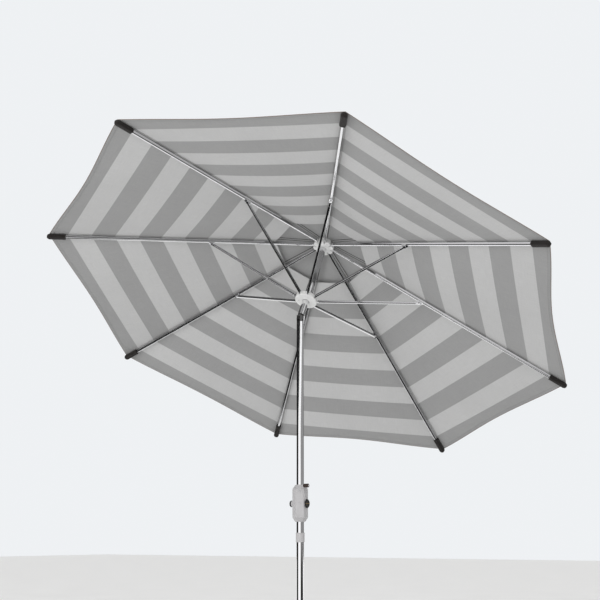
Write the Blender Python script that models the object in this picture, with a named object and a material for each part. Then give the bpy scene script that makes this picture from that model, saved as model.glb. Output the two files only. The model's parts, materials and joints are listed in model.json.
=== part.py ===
"""A garden umbrella with a crank lift and a push-button tilt, open and leaning.

Metres, +Z up the pole. The origin is the centre of the pole's foot. The tilt pins and the
crank shaft run along X, and the canopy leans towards +Y. Each sub-part is one object.
"""
import math

import bmesh
import bpy
from mathutils import Matrix, Vector

# Driving dimensions
GAP = 0.0003
POLE_RADIUS = 0.0175
POLE_WALL = 0.0015
PIVOT_HEIGHT = 1.86
TILT = math.radians(28)

FOOT_THICKNESS = 0.004
JOINT_HEIGHT = 0.786
JOINT_OVERLAP = 0.1
COLLAR_HEIGHT = 0.044
COLLAR_RADIUS = 0.0213

CRANK_HEIGHT = 0.9445
HOUSING_BOTTOM = 0.859
HOUSING_TOP = 1.034
HOUSING_TAPER = 0.02
HOUSING_FLATS = 0.0333
HOUSING_WALL = 0.003
SCREW_HEIGHTS = (0.9465, 1.003)
SCREW_SIDE = math.radians(-60)
SHAFT_RADIUS = 0.004
ARM_START = 0.034
ARM_END = 0.038
CRANK_THROW = 0.088
CRANK_ANGLE = math.radians(18)
GRIP_START = 0.0386
GRIP_END = 0.0655

RIB_COUNT = 8
RIB_START = math.radians(-8)
RIB_SLOPE = math.radians(18.3)
RIB_LENGTH = 1.36
RIB_WIDTH = 0.012
RIB_HEIGHT = 0.018
HUB_HEIGHT = 0.488
HUB_RADIUS = 0.056
RIB_PIVOT_RADIUS = 0.046
STRUT_REACH = 0.549
STRUT_DROP = 0.017
STRUT_WIDTH = 0.011
STRUT_HEIGHT = 0.013
RUNNER_HEIGHT = 0.122
RUNNER_RADIUS = 0.0565
STRUT_PIVOT_RADIUS = 0.043
TONGUE_WIDTH = 0.0076
SLOT_WIDTH = 0.0082
PIN_RADIUS = 0.0022

VENT_RADIUS = 0.25
CANOPY_RADIUS = 1.365
EDGE_DIP = 0.012
CANOPY_CLEARANCE = 0.013
POCKET_START = 1.3
POCKET_CENTER = 1.38
POCKET_WIDTH = 0.03
POCKET_TOP = 0.0102
POCKET_BOTTOM = -0.0125
SHEET = 0.002
CAP_RADIUS = 0.33
CAP_SLOPE = math.radians(15)

CORD_RADIUS = 0.0015
PULLEY_RADIUS = 0.01025
PULLEY_DROP = 0.042

# Worked out from the driving dimensions
POLE_BORE = POLE_RADIUS - POLE_WALL
FIT_RADIUS = POLE_BORE - GAP
SLEEVE_BORE = POLE_RADIUS + GAP
HEX_CORNER = 1 / math.cos(math.radians(30))
BUTTON_HEIGHT = PIVOT_HEIGHT - 0.034
# Turns an outline drawn in XY, with its long side along X, so that it stands in YZ
STAND_UP = Matrix(((0, 0, 1, 0), (0, 1, 0, 0), (1, 0, 0, 0), (0, 0, 0, 1))) @ Matrix.Scale(-1, 4, (0, 1, 0))


def material(name, color, roughness, metallic=0.0):
    made = bpy.data.materials.new(name)
    made.use_nodes = True
    shader = made.node_tree.nodes["Principled BSDF"]
    shader.inputs["Base Color"].default_value = (*color, 1.0)
    shader.inputs["Roughness"].default_value = roughness
    shader.inputs["Metallic"].default_value = metallic
    return made


def place(name, mesh, look, parent=None, location=(0, 0, 0), rotation=(0, 0, 0)):
    """Put a finished mesh into the scene as one named sub-part."""
    part = bpy.data.objects.new(name, mesh)
    bpy.context.scene.collection.objects.link(part)
    if not mesh.materials:
        mesh.materials.append(look)
    part.parent = parent
    part.location = location
    part.rotation_euler = rotation
    return part


def mesh_from(verts, faces, smooth_angle=35):
    bm = bmesh.new()
    made = [bm.verts.new(point) for point in verts]
    for face in faces:
        bm.faces.new([made[i] for i in face])
    bmesh.ops.recalc_face_normals(bm, faces=bm.faces)
    mesh = bpy.data.meshes.new("solid")
    bm.to_mesh(mesh)
    bm.free()
    mesh.shade_smooth()
    mesh.set_sharp_from_angle(angle=math.radians(smooth_angle))
    return mesh


def turned(profile, segments=16, axis="Z"):
    """Revolve (radius, height) points. A profile that starts and ends on the axis is solid."""
    solid = profile[0][0] == 0
    rows = profile[1:-1] if solid else profile
    verts = []
    for radius, height in rows:
        for i in range(segments):
            angle = 2 * math.pi * i / segments
            verts.append((radius * math.cos(angle), radius * math.sin(angle), height))
    faces = []
    for row in range(len(rows) - (1 if solid else 0)):
        low = row * segments
        high = (row + 1) % len(rows) * segments
        for i in range(segments):
            j = (i + 1) % segments
            faces.append((low + i, low + j, high + j, high + i))
    if solid:
        faces.append(range(segments))
        faces.append(range(len(verts) - segments, len(verts)))
    mesh = mesh_from(verts, faces)
    if axis != "Z":
        turn = {"X": Matrix.Rotation(math.pi / 2, 4, "Y"), "Y": Matrix.Rotation(-math.pi / 2, 4, "X")}
        mesh.transform(turn[axis])
    return mesh


def cylinder(radius, low, high, axis="Z", segments=16):
    return turned([(0, low), (radius, low), (radius, high), (0, high)], segments, axis)


def prism(outline, low, high, axis="Z"):
    """Extrude an outline. Along Z its points are (x, y), along X (y, z) and along Y (x, z)."""
    lift = {
        "Z": lambda a, b, h: (a, b, h),
        "X": lambda a, b, h: (h, a, b),
        "Y": lambda a, b, h: (a, h, b),
    }[axis]
    count = len(outline)
    verts = [lift(a, b, low) for a, b in outline] + [lift(a, b, high) for a, b in outline]
    faces = [range(count), range(count, 2 * count)]
    for i in range(count):
        j = (i + 1) % count
        faces.append((i, j, count + j, count + i))
    return mesh_from(verts, faces)


def box(low, high):
    outline = [(low[0], low[1]), (high[0], low[1]), (high[0], high[1]), (low[0], high[1])]
    return prism(outline, low[2], high[2])


def arc(radius, start, end, steps, center=(0, 0)):
    """Points on a circle, from one angle to another, in degrees."""
    points = []
    for i in range(steps + 1):
        angle = math.radians(start + (end - start) * i / steps)
        points.append((center[0] + radius * math.cos(angle), center[1] + radius * math.sin(angle)))
    return points


def moved(mesh, matrix):
    mesh.transform(matrix)
    return mesh


def around(mesh, angle):
    """Turn a mesh about Z."""
    return moved(mesh, Matrix.Rotation(angle, 4, "Z"))


def ring_of(make, count=RIB_COUNT, start=RIB_START):
    """One mesh of separate copies set evenly about Z, used as a tool on another mesh."""
    bm = bmesh.new()
    for i in range(count):
        mesh = around(make(), start + 2 * math.pi * i / count)
        bm.from_mesh(mesh)
        bpy.data.meshes.remove(mesh)
    joined = bpy.data.meshes.new("ring")
    bm.to_mesh(joined)
    bm.free()
    return joined


def shaped(base, *steps):
    """Apply (operation, mesh) steps to a mesh with exact Booleans, and return the result."""
    host = bpy.data.objects.new("host", base)
    bpy.context.scene.collection.objects.link(host)
    for operation, mesh in steps:
        tool = bpy.data.objects.new("tool", mesh)
        bpy.context.scene.collection.objects.link(tool)
        step = host.modifiers.new("shape", "BOOLEAN")
        step.operation = operation
        step.object = tool
        state = bpy.context.evaluated_depsgraph_get()
        result = bpy.data.meshes.new_from_object(host.evaluated_get(state))
        host.modifiers.clear()
        host.data = result
        bpy.data.objects.remove(tool)
    mesh = host.data
    bpy.data.objects.remove(host)
    bm = bmesh.new()
    bm.from_mesh(mesh)
    bmesh.ops.remove_doubles(bm, verts=bm.verts, dist=1e-6)
    bmesh.ops.dissolve_limit(bm, angle_limit=math.radians(0.5), verts=bm.verts, edges=bm.edges)
    bm.to_mesh(mesh)
    bm.free()
    mesh.shade_smooth()
    mesh.set_sharp_from_angle(angle=math.radians(35))
    return mesh


def tube_along(name, points, radius, look, parent=None, resolution=2):
    """A round cord or wire that follows the given points."""
    curve = bpy.data.curves.new(name, "CURVE")
    curve.dimensions = "3D"
    curve.bevel_depth = radius
    curve.bevel_resolution = resolution
    curve.use_fill_caps = True
    spline = curve.splines.new("POLY")
    spline.points.add(len(points) - 1)
    for point, place_at in zip(spline.points, points):
        point.co = (*place_at, 1)
    curve.materials.append(look)
    part = bpy.data.objects.new(name, curve)
    bpy.context.scene.collection.objects.link(part)
    part.parent = parent
    return part


def helix(radius, low, high, turns, steps):
    """Points of a coil wound about X."""
    points = []
    for i in range(turns * steps + 1):
        angle = 2 * math.pi * i / steps
        along = low + (high - low) * i / (turns * steps)
        points.append((along, radius * math.cos(angle), radius * math.sin(angle)))
    return points


def frame_empty(name, location, rotation=(0, 0, 0)):
    empty = bpy.data.objects.new(name, None)
    bpy.context.scene.collection.objects.link(empty)
    empty.location = location
    empty.rotation_euler = rotation
    return empty


# ---------------------------------------------------------------- poles


def foot_plug(look):
    rim = POLE_RADIUS
    top = 0.03
    profile = [(0, 0), (rim - 0.001, 0), (rim, 0.001), (rim, FOOT_THICKNESS)]
    profile += [(FIT_RADIUS, FOOT_THICKNESS), (FIT_RADIUS, top), (0, top)]
    place("foot_plug", turned(profile, 24), look)


def lower_pole(look):
    low = FOOT_THICKNESS + GAP
    profile = [(POLE_BORE, low), (POLE_RADIUS, low), (POLE_RADIUS, JOINT_HEIGHT), (POLE_BORE, JOINT_HEIGHT)]
    place("lower_pole", turned(profile, 24), look)


def pole_collar(look):
    half = COLLAR_HEIGHT / 2
    low = JOINT_HEIGHT - half
    high = JOINT_HEIGHT + half
    edge = 0.0015
    profile = [(SLEEVE_BORE, low), (COLLAR_RADIUS - edge, low), (COLLAR_RADIUS, low + edge)]
    profile += [(COLLAR_RADIUS, high - edge), (COLLAR_RADIUS - edge, high), (SLEEVE_BORE, high)]
    place("pole_collar", turned(profile, 24), look)


def middle_pole(look):
    """The section above the collar. Its reduced end slides into the lower pole."""
    shoulder = JOINT_HEIGHT + GAP
    low = JOINT_HEIGHT - JOINT_OVERLAP
    top = PIVOT_HEIGHT - 0.0188
    inner = FIT_RADIUS - POLE_WALL
    profile = [(inner, low), (FIT_RADIUS, low), (FIT_RADIUS, shoulder), (POLE_RADIUS, shoulder)]
    profile += [(POLE_RADIUS, top), (POLE_BORE, top), (POLE_BORE, shoulder + 0.002), (inner, shoulder)]
    shaft_hole = cylinder(0.0055, -0.03, 0.03, "X")
    shaft_hole.transform(Matrix.Translation((0, 0, CRANK_HEIGHT)))
    button_hole = cylinder(0.0065, -0.03, -0.005, "Y")
    button_hole.transform(Matrix.Translation((0, 0, BUTTON_HEIGHT)))
    mesh = shaped(turned(profile, 24), ("DIFFERENCE", shaft_hole), ("DIFFERENCE", button_hole))
    place("middle_pole", mesh, look)


def upper_pole(look, head):
    low = 0.0182
    high = HUB_HEIGHT + 0.012
    profile = [(POLE_BORE, low), (POLE_RADIUS, low), (POLE_RADIUS, high), (POLE_BORE, high)]
    middle = HUB_HEIGHT - PULLEY_DROP
    slot = box((-0.0042, 0, middle - 0.0165), (0.0042, 0.03, middle + 0.0155))
    place("upper_pole", shaped(turned(profile, 24), ("DIFFERENCE", slot)), look, head)


# ---------------------------------------------------------------- crank


def hex_loft(sections):
    """A six-sided body through (height, flat distance) sections, with a flat facing +X."""
    verts = []
    for height, flats in sections:
        for i in range(6):
            angle = math.radians(30 + 60 * i)
            corner = flats * HEX_CORNER
            verts.append((corner * math.cos(angle), corner * math.sin(angle), height))
    faces = [range(6), range(len(verts) - 6, len(verts))]
    for row in range(len(sections) - 1):
        for i in range(6):
            j = (i + 1) % 6
            faces.append((row * 6 + i, row * 6 + j, row * 6 + 6 + j, row * 6 + 6 + i))
    return mesh_from(verts, faces)


def crank_housing(look):
    """Two shells that clamp round the pole and part on the plane of the shaft."""
    small = HOUSING_FLATS * 0.66
    body = hex_loft([
        (HOUSING_BOTTOM, small),
        (HOUSING_BOTTOM + HOUSING_TAPER, HOUSING_FLATS),
        (HOUSING_TOP - HOUSING_TAPER, HOUSING_FLATS),
        (HOUSING_TOP, small),
    ])
    at_shaft = Matrix.Translation((0, 0, CRANK_HEIGHT))
    boss = turned([(0, -0.045), (0.0155, -0.045), (0.019, -0.0335), (0.019, -0.031), (0, -0.031)], 24, "X")
    end_wall = HOUSING_TAPER + 0.0025
    room = HOUSING_FLATS - HOUSING_WALL
    hollow = hex_loft([(HOUSING_BOTTOM + end_wall, room), (HOUSING_TOP - end_wall, room)])
    steps = [
        ("UNION", moved(boss, at_shaft)),
        ("DIFFERENCE", hollow),
        ("DIFFERENCE", cylinder(SLEEVE_BORE, HOUSING_BOTTOM - 0.01, HOUSING_TOP + 0.01, segments=24)),
        ("DIFFERENCE", moved(cylinder(0.0046, 0.02, 0.06, "X"), at_shaft)),
        ("DIFFERENCE", moved(cylinder(0.0078, -0.06, -0.02, "X"), at_shaft)),
    ]
    for height in SCREW_HEIGHTS:
        hole = around(cylinder(0.0018, 0.02, 0.06, "X", 10), SCREW_SIDE)
        steps.append(("DIFFERENCE", moved(hole, Matrix.Translation((0, 0, height)))))
    whole = shaped(body, *steps)
    reach = 0.1
    for name, low, high in (("front", -reach, -GAP / 2), ("back", GAP / 2, reach)):
        half = box((-reach, low, HOUSING_BOTTOM - reach), (reach, high, HOUSING_TOP + reach))
        place("crank_housing_" + name, shaped(whole.copy(), ("INTERSECT", half)), look)


def housing_screws(look):
    profile = [(0, 0.0195), (0.0008, 0.0195), (0.0014, 0.021), (0.0014, HOUSING_FLATS + GAP)]
    profile += [(0.0034, HOUSING_FLATS + GAP), (0.0030, HOUSING_FLATS + 0.0014), (0, HOUSING_FLATS + 0.0014)]
    for name, height in zip(("lower", "upper"), SCREW_HEIGHTS):
        mesh = turned(profile, 12, "X")
        place("housing_screw_" + name, mesh, look, None, (0, 0, height), (0, 0, SCREW_SIDE))


def brake_drum(look):
    profile = [(0.0112, 0.0186), (0.015, 0.0186), (0.015, 0.03), (0.0112, 0.03)]
    place("brake_drum", turned(profile, 20, "X"), look, None, (0, 0, CRANK_HEIGHT))


def shaft_bush(look):
    profile = [(0.0043, -0.0445), (0.0075, -0.0445), (0.0075, -0.0192), (0.0043, -0.0192)]
    place("shaft_bush", turned(profile, 16, "X"), look, None, (0, 0, CRANK_HEIGHT))


def crank_shaft(look, crank):
    thick = 0.0078
    profile = [(0, -0.049), (0.004, -0.049), (0.004, 0.019), (thick, 0.019), (thick, 0.0297)]
    profile += [(0.004, 0.0297), (0.004, 0.0392), (0, 0.0392)]
    place("crank_shaft", turned(profile, 16, "X"), look, crank)


def cord_spool(look, crank):
    half = 0.009
    profile = [(0.0043, -half), (0.0115, -half), (0.0115, -half + 0.002), (0.008, -half + 0.0026)]
    profile += [(0.008, half - 0.0026), (0.0115, half - 0.002), (0.0115, half), (0.0043, half)]
    place("cord_spool", turned(profile, 20, "X"), look, crank)


def brake_spring(look, crank):
    tube_along("brake_spring", helix(0.01, 0.0205, 0.028, 3, 10), 0.0007, look, crank, 0)


def shaft_end_cap(look, crank):
    profile = [(0, -0.053), (0.014, -0.053), (0.0155, -0.0515), (0.0155, -0.0453), (0.0045, -0.0453)]
    profile += [(0.0045, -0.0493), (0, -0.0493)]
    place("shaft_end_cap", turned(profile, 20, "X"), look, crank)


def crank_arm(look, crank):
    """The arm, with the pin that the grip turns on."""
    reach = CRANK_THROW
    outline = arc(0.0165, 30, 330, 16) + arc(0.008, -90, 90, 8, (reach, 0))
    plate = prism(outline, ARM_START, ARM_END)
    pin = cylinder(0.003, ARM_END - 0.001, GRIP_END + 0.002, "Z", 12)
    head = cylinder(0.0046, GRIP_END + 0.0007, GRIP_END + 0.003, "Z", 12)
    at_grip = Matrix.Translation((reach, 0, 0))
    hole = cylinder(0.0043, 0.03, 0.05)
    steps = [("UNION", moved(pin, at_grip)), ("UNION", moved(head, at_grip)), ("DIFFERENCE", hole)]
    mesh = shaped(plate, *steps)
    mesh.transform(Matrix.Rotation(CRANK_ANGLE, 4, "X") @ STAND_UP)
    place("crank_arm", mesh, look, crank)


def crank_cap(look, crank):
    profile = [(0, 0.0425), (0.0195, 0.0425), (0.021, 0.041), (0.021, 0.0383), (0.0048, 0.0383)]
    profile += [(0.0048, 0.0395), (0, 0.0395)]
    groove = box((0.041, -0.0182, -0.0016), (0.05, 0.0182, 0.0016))
    place("crank_cap", shaped(turned(profile, 20, "X"), ("DIFFERENCE", groove)), look, crank)


def crank_cross_pin(look, crank):
    place("crank_cross_pin", box((0.0413, -0.0179, -0.0012), (0.0429, 0.0179, 0.0012)), look, crank)


def crank_grip(look, crank):
    profile = [(0.0034, GRIP_START), (0.0075, GRIP_START), (0.009, GRIP_START + 0.0024)]
    profile += [(0.0085, GRIP_END - 0.012), (0.0095, GRIP_END - 0.0035), (0.008, GRIP_END), (0.0034, GRIP_END)]
    side = Vector((0, -math.sin(CRANK_ANGLE), math.cos(CRANK_ANGLE))) * CRANK_THROW
    place("crank_grip", turned(profile, 20, "X"), look, crank, side)


# ---------------------------------------------------------------- tilt joint


def tilt_fork(look):
    """The lower half of the tilt joint: two round cheeks on a plug in the middle pole."""
    base_top = -0.0185
    dome = 0.0172
    profile = [(0, -0.08), (FIT_RADIUS, -0.08), (FIT_RADIUS, base_top), (POLE_RADIUS, base_top)]
    profile += [(POLE_RADIUS, dome + 0.001), (0, dome + 0.001)]
    side = 0.019
    outline = [(-side, -0.09), (side, -0.09), (side, 0)] + arc(dome, 0, 180, 12) + [(-side, 0)]
    button_hole = cylinder(0.0063, -0.03, -0.005, "Y")
    steps = [
        ("INTERSECT", prism(outline, -0.03, 0.03, "X")),
        ("DIFFERENCE", box((-SLOT_WIDTH, -0.03, -0.018), (SLOT_WIDTH, 0.03, 0.03))),
        ("DIFFERENCE", cylinder(0.0035, -0.1, 0, "Z", 12)),
        ("DIFFERENCE", cylinder(0.0043, -0.03, 0.03, "X")),
        ("DIFFERENCE", moved(button_hole, Matrix.Translation((0, 0, BUTTON_HEIGHT - PIVOT_HEIGHT)))),
    ]
    place("tilt_fork", shaped(turned(profile, 24), *steps), look, None, (0, 0, PIVOT_HEIGHT))


def tilt_tongue(look, head):
    """The upper half: a plate between the cheeks, on a plug in the upper pole."""
    round_end = 0.0165
    neck = 0.0135
    plate_half = SLOT_WIDTH - GAP
    lift = math.degrees(math.acos(neck / round_end))
    outline = arc(round_end, lift, -180 - lift, 16) + [(-neck, 0.025), (neck, 0.025)]
    plug = cylinder(FIT_RADIUS, 0.0182, 0.075, segments=24)
    cord_room = box((-0.0035, -0.0035, -0.03), (0.0035, 0.0125, 0.001))
    steps = [
        ("UNION", prism(outline, -plate_half, plate_half, "X")),
        ("DIFFERENCE", cylinder(0.0035, -0.002, 0.1, "Z", 12)),
        ("DIFFERENCE", cord_room),
        ("DIFFERENCE", cylinder(0.0043, -0.03, 0.03, "X")),
    ]
    place("tilt_tongue", shaped(plug, *steps), look, head)


def tilt_pins(look):
    profile = [(0, 0.0052), (0.004, 0.0052), (0.004, POLE_RADIUS + GAP), (0.0062, POLE_RADIUS + GAP)]
    profile += [(0.0055, POLE_RADIUS + 0.002), (0, POLE_RADIUS + 0.002)]
    for name, turn in (("right", 0), ("left", math.pi)):
        place("tilt_pin_" + name, turned(profile, 16, "X"), look, None, (0, 0, PIVOT_HEIGHT), (0, 0, turn))


def tilt_button(look):
    """A round button in the fork's side. It is pushed in towards +Y to free the tilt."""
    inner = -0.0105
    face = -POLE_RADIUS - 0.0035
    profile = [(0, inner), (0.006, inner), (0.006, face + 0.001), (0.005, face), (0, face)]
    place("tilt_button", turned(profile, 20, "Y"), look, None, (0, 0, BUTTON_HEIGHT))


def button_spring(look):
    spring = tube_along("button_spring", helix(0.0045, -0.0096, -0.0058, 3, 8), 0.0005, look, None, 0)
    spring.location = (0, 0, BUTTON_HEIGHT)
    spring.rotation_euler = (0, 0, math.pi / 2)


# ---------------------------------------------------------------- lift


def slot_tool(inner, low, high):
    half = SLOT_WIDTH / 2
    return box((inner, -half, low), (0.09, half, high))


def pin_tool(radius):
    half = SLOT_WIDTH / 2 + 0.002
    return moved(cylinder(PIN_RADIUS, -half, half, "Y", 8), Matrix.Translation((radius, 0, 0)))


def runner(look, head):
    """The ring that slides on the upper pole. Its slots hold the lower ends of the struts."""
    bore = POLE_RADIUS + 0.0006
    low = -0.014
    rim = RUNNER_RADIUS
    profile = [(bore, low), (rim - 0.003, low), (rim, low + 0.003), (rim, 0.009), (rim - 0.003, 0.012)]
    profile += [(0.027, 0.012), (0.024, 0.015), (0.0235, 0.036), (0.0225, 0.038), (bore, 0.038)]
    steps = [
        ("DIFFERENCE", ring_of(lambda: slot_tool(0.0345, -0.0088, 0.05))),
        ("UNION", ring_of(lambda: pin_tool(STRUT_PIVOT_RADIUS))),
    ]
    place("runner", shaped(turned(profile, 32), *steps), look, head, (0, 0, RUNNER_HEIGHT))


def crown_hub(look, head):
    """The fixed ring on the top of the pole. Its slots hold the inner ends of the ribs."""
    bore = SLEEVE_BORE
    low = -0.02
    rim = HUB_RADIUS
    profile = [(bore, low), (0.03, low), (0.034, low + 0.006), (rim - 0.002, low + 0.006)]
    profile += [(rim, low + 0.008), (rim, 0.014), (rim - 0.006, 0.02), (0.004, 0.02), (0.004, 0.0135)]
    profile.append((bore, 0.0135))
    steps = [
        ("DIFFERENCE", ring_of(lambda: slot_tool(0.0375, -0.03, 0.03))),
        ("UNION", ring_of(lambda: pin_tool(RIB_PIVOT_RADIUS))),
    ]
    place("crown_hub", shaped(turned(profile, 32), *steps), look, head, (0, 0, HUB_HEIGHT))


def crown_cap(look, head):
    """The disc that clamps the vent cap's cloth down on the crown."""
    low = 0.0232
    profile = [(0, low), (0.045, low), (0.046, low + 0.002), (0.04, low + 0.008), (0.018, low + 0.013)]
    profile += [(0.0145, low + 0.016), (0, low + 0.016)]
    place("crown_cap", turned(profile, 24), look, head, (0, 0, HUB_HEIGHT))


def finial(look, head):
    low = 0.0395
    profile = [(0, low), (0.0125, low), (0.011, low + 0.006), (0.0085, low + 0.011)]
    for radius, rise in arc(0.0155, -50, 68, 5, (0, low + 0.024)):
        profile.append((radius, rise))
    profile += [(0.0035, low + 0.0415), (0, low + 0.0425)]
    place("finial", turned(profile, 24), look, head, (0, 0, HUB_HEIGHT))


def pulley(look, head):
    flange = 0.0125
    groove = PULLEY_RADIUS - CORD_RADIUS - GAP
    half = 0.0032
    profile = [(0.0023, -half), (flange, -half), (flange, -half + 0.0012), (groove, -0.0014)]
    profile += [(groove, 0.0014), (flange, half - 0.0012), (flange, half), (0.0023, half)]
    middle = (0, PULLEY_RADIUS, HUB_HEIGHT - PULLEY_DROP)
    place("pulley", turned(profile, 20, "X"), look, head, middle)


def pulley_pin(look, head):
    middle = (0, PULLEY_RADIUS, HUB_HEIGHT - PULLEY_DROP)
    place("pulley_pin", cylinder(0.002, -0.0097, 0.0097, "X", 12), look, head, middle)


def lift_cords(look, head):
    """The cord runs up inside the pole, over the pulley, and down outside to the runner."""
    spool_side = 0.008 + CORD_RADIUS + GAP
    route = [(0, spool_side, CRANK_HEIGHT), (0, 0.004, 1.4), (0, 0, PIVOT_HEIGHT - 0.012)]
    route.append((0, 0, PIVOT_HEIGHT - 0.004))
    tube_along("lift_cord_lower", route, CORD_RADIUS, look)
    wheel = HUB_HEIGHT - PULLEY_DROP
    route = [(0, 0, 0.004), (0, 0, 0.2)]
    route += [(0, y, z) for y, z in arc(PULLEY_RADIUS, 180, 0, 10, (PULLEY_RADIUS, wheel))]
    route.append((0, 2 * PULLEY_RADIUS, RUNNER_HEIGHT + 0.0385))
    tube_along("lift_cord_upper", route, CORD_RADIUS, look, head)


# ---------------------------------------------------------------- ribs and struts


def rib_mesh():
    """A rib along X from its pivot, with the bracket for its strut below it."""
    half = RIB_HEIGHT / 2
    side = RIB_WIDTH / 2
    start = 0.02
    bar = box((start, -side, -half), (RIB_LENGTH, side, half))
    tongue_outline = arc(0.007, 90, 270, 8) + [(start + 0.004, -0.007), (start + 0.004, 0.007)]
    tongue = prism(tongue_outline, -TONGUE_WIDTH / 2, TONGUE_WIDTH / 2, "Y")
    eye = cylinder(PIN_RADIUS + 0.0006, -0.02, 0.02, "Y", 12)
    ear = 0.012
    ears = [(STRUT_REACH - ear - 0.006, -half + 0.001), (STRUT_REACH - ear, -STRUT_DROP)]
    ears += arc(0.006, 180, 360, 6, (STRUT_REACH, -STRUT_DROP))
    ears += [(STRUT_REACH + ear, -STRUT_DROP), (STRUT_REACH + ear + 0.006, -half + 0.001)]
    bracket = prism(ears, -0.008, 0.008, "Y")
    slot_half = SLOT_WIDTH / 2
    slot = box((STRUT_REACH - 0.03, -slot_half, -0.04), (STRUT_REACH + 0.03, slot_half, -half - 0.0004))
    pin = cylinder(PIN_RADIUS, -0.007, 0.007, "Y", 10)
    return shaped(
        bar,
        ("UNION", tongue),
        ("DIFFERENCE", eye),
        ("UNION", bracket),
        ("DIFFERENCE", slot),
        ("UNION", moved(pin, Matrix.Translation((STRUT_REACH, 0, -STRUT_DROP)))),
    )


def strut_mesh(length):
    """A strut along X, with a tongue and an eye at each end."""
    half = STRUT_HEIGHT / 2
    side = STRUT_WIDTH / 2
    inset = 0.021
    bar = box((inset, -side, -half), (length - inset, side, half))
    low_end = arc(0.006, 90, 270, 8) + [(inset + 0.003, -0.006), (inset + 0.003, 0.006)]
    high_end = arc(0.006, -90, 90, 8, (length, 0)) + [(length - inset - 0.003, 0.006)]
    high_end.append((length - inset - 0.003, -0.006))
    thick = TONGUE_WIDTH / 2
    open_eye = cylinder(PIN_RADIUS + 0.0013, -0.02, 0.02, "Y", 12)
    return shaped(
        bar,
        ("UNION", prism(low_end, -thick, thick, "Y")),
        ("UNION", prism(high_end, -thick, thick, "Y")),
        ("DIFFERENCE", cylinder(PIN_RADIUS + 0.0006, -0.02, 0.02, "Y", 12)),
        ("DIFFERENCE", moved(open_eye, Matrix.Translation((length, 0, 0)))),
    )


def pocket_mesh():
    """The pocket sewn under the canopy's corner, which the end of the rib sits in."""
    half = POCKET_WIDTH / 2
    outline = [(POCKET_START, half), (POCKET_START, -half)] + arc(half, -90, 90, 8, (POCKET_CENTER, 0))
    body = prism(outline, POCKET_BOTTOM, POCKET_TOP)
    side = RIB_WIDTH / 2 + 0.0004
    top = RIB_HEIGHT / 2 + GAP
    room = box((POCKET_START - 0.01, -side, -top), (RIB_LENGTH + 0.0005, side, top))
    return shaped(body, ("DIFFERENCE", room))


def strut_span():
    """Length and rise of a strut between its two pivots, from the open rib's slope."""
    slope = Matrix.Rotation(-RIB_SLOPE, 2)
    reach = slope @ Vector((STRUT_REACH, -STRUT_DROP))
    across = RIB_PIVOT_RADIUS + reach.x - STRUT_PIVOT_RADIUS
    rise = HUB_HEIGHT + reach.y - RUNNER_HEIGHT
    return math.hypot(across, rise), math.atan2(rise, across)


def ribs_and_struts(rib_look, pocket_look, head):
    length, rise = strut_span()
    rib = rib_mesh()
    strut = strut_mesh(length)
    pocket = pocket_mesh()
    for i in range(RIB_COUNT):
        number = str(i + 1)
        turn = RIB_START + 2 * math.pi * i / RIB_COUNT
        out = Vector((math.cos(turn), math.sin(turn), 0))
        hub = out * RIB_PIVOT_RADIUS + Vector((0, 0, HUB_HEIGHT))
        foot = out * STRUT_PIVOT_RADIUS + Vector((0, 0, RUNNER_HEIGHT))
        bar = place("rib_" + number, rib, rib_look, head, hub, (0, RIB_SLOPE, turn))
        place("tip_pocket_" + number, pocket, pocket_look, bar)
        place("strut_" + number, strut, rib_look, head, foot, (0, -rise, turn))


# ---------------------------------------------------------------- cloth


def cloth_sheet(rows, columns=4):
    """A closed eight-sided ring of cloth. Each row is (corner radius, corner height, edge dip)."""
    around_count = RIB_COUNT * columns
    lower = []
    for radius, height, dip in rows:
        for i in range(around_count):
            panel, step = divmod(i, columns)
            share = step / columns
            first = RIB_START + 2 * math.pi * panel / RIB_COUNT
            second = first + 2 * math.pi / RIB_COUNT
            start = Vector((math.cos(first), math.sin(first)))
            end = Vector((math.cos(second), math.sin(second)))
            inset = 1 - dip * 4 * share * (1 - share) / radius
            flat = start.lerp(end, share) * radius * inset
            lower.append((flat.x, flat.y, height + (1 - inset) * radius * math.tan(RIB_SLOPE)))
    upper = [(x, y, z + SHEET) for x, y, z in lower]
    count = len(lower)
    faces = []
    for row in range(len(rows) - 1):
        for i in range(around_count):
            j = (i + 1) % around_count
            low = row * around_count
            high = low + around_count
            faces.append((low + i, low + j, high + j, high + i))
            faces.append((count + low + i, count + high + i, count + high + j, count + low + j))
    last = (len(rows) - 1) * around_count
    for i in range(around_count):
        j = (i + 1) % around_count
        faces.append((i, count + i, count + j, j))
        faces.append((last + i, last + j, count + last + j, count + last + i))
    return mesh_from(lower + upper, faces)


def canopy(look, head):
    lift = HUB_HEIGHT + CANOPY_CLEARANCE / math.cos(RIB_SLOPE)
    rows = []
    for share in (0, 0.33, 0.67, 1):
        radius = VENT_RADIUS + (CANOPY_RADIUS - VENT_RADIUS) * share
        rows.append((radius, lift - (radius - RIB_PIVOT_RADIUS) * math.tan(RIB_SLOPE), EDGE_DIP * share))
    place("canopy", cloth_sheet(rows), look, head)


def vent_cap(look, head):
    top = HUB_HEIGHT + 0.0206
    flat = HUB_RADIUS + 0.001
    rows = [(0.012, top, 0), (flat, top, 0)]
    for share in (0.5, 1):
        radius = flat + (CAP_RADIUS - flat) * share
        rows.append((radius, top - (radius - flat) * math.tan(CAP_SLOPE), 0.006 * share))
    place("vent_cap", cloth_sheet(rows, 2), look, head)


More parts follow.
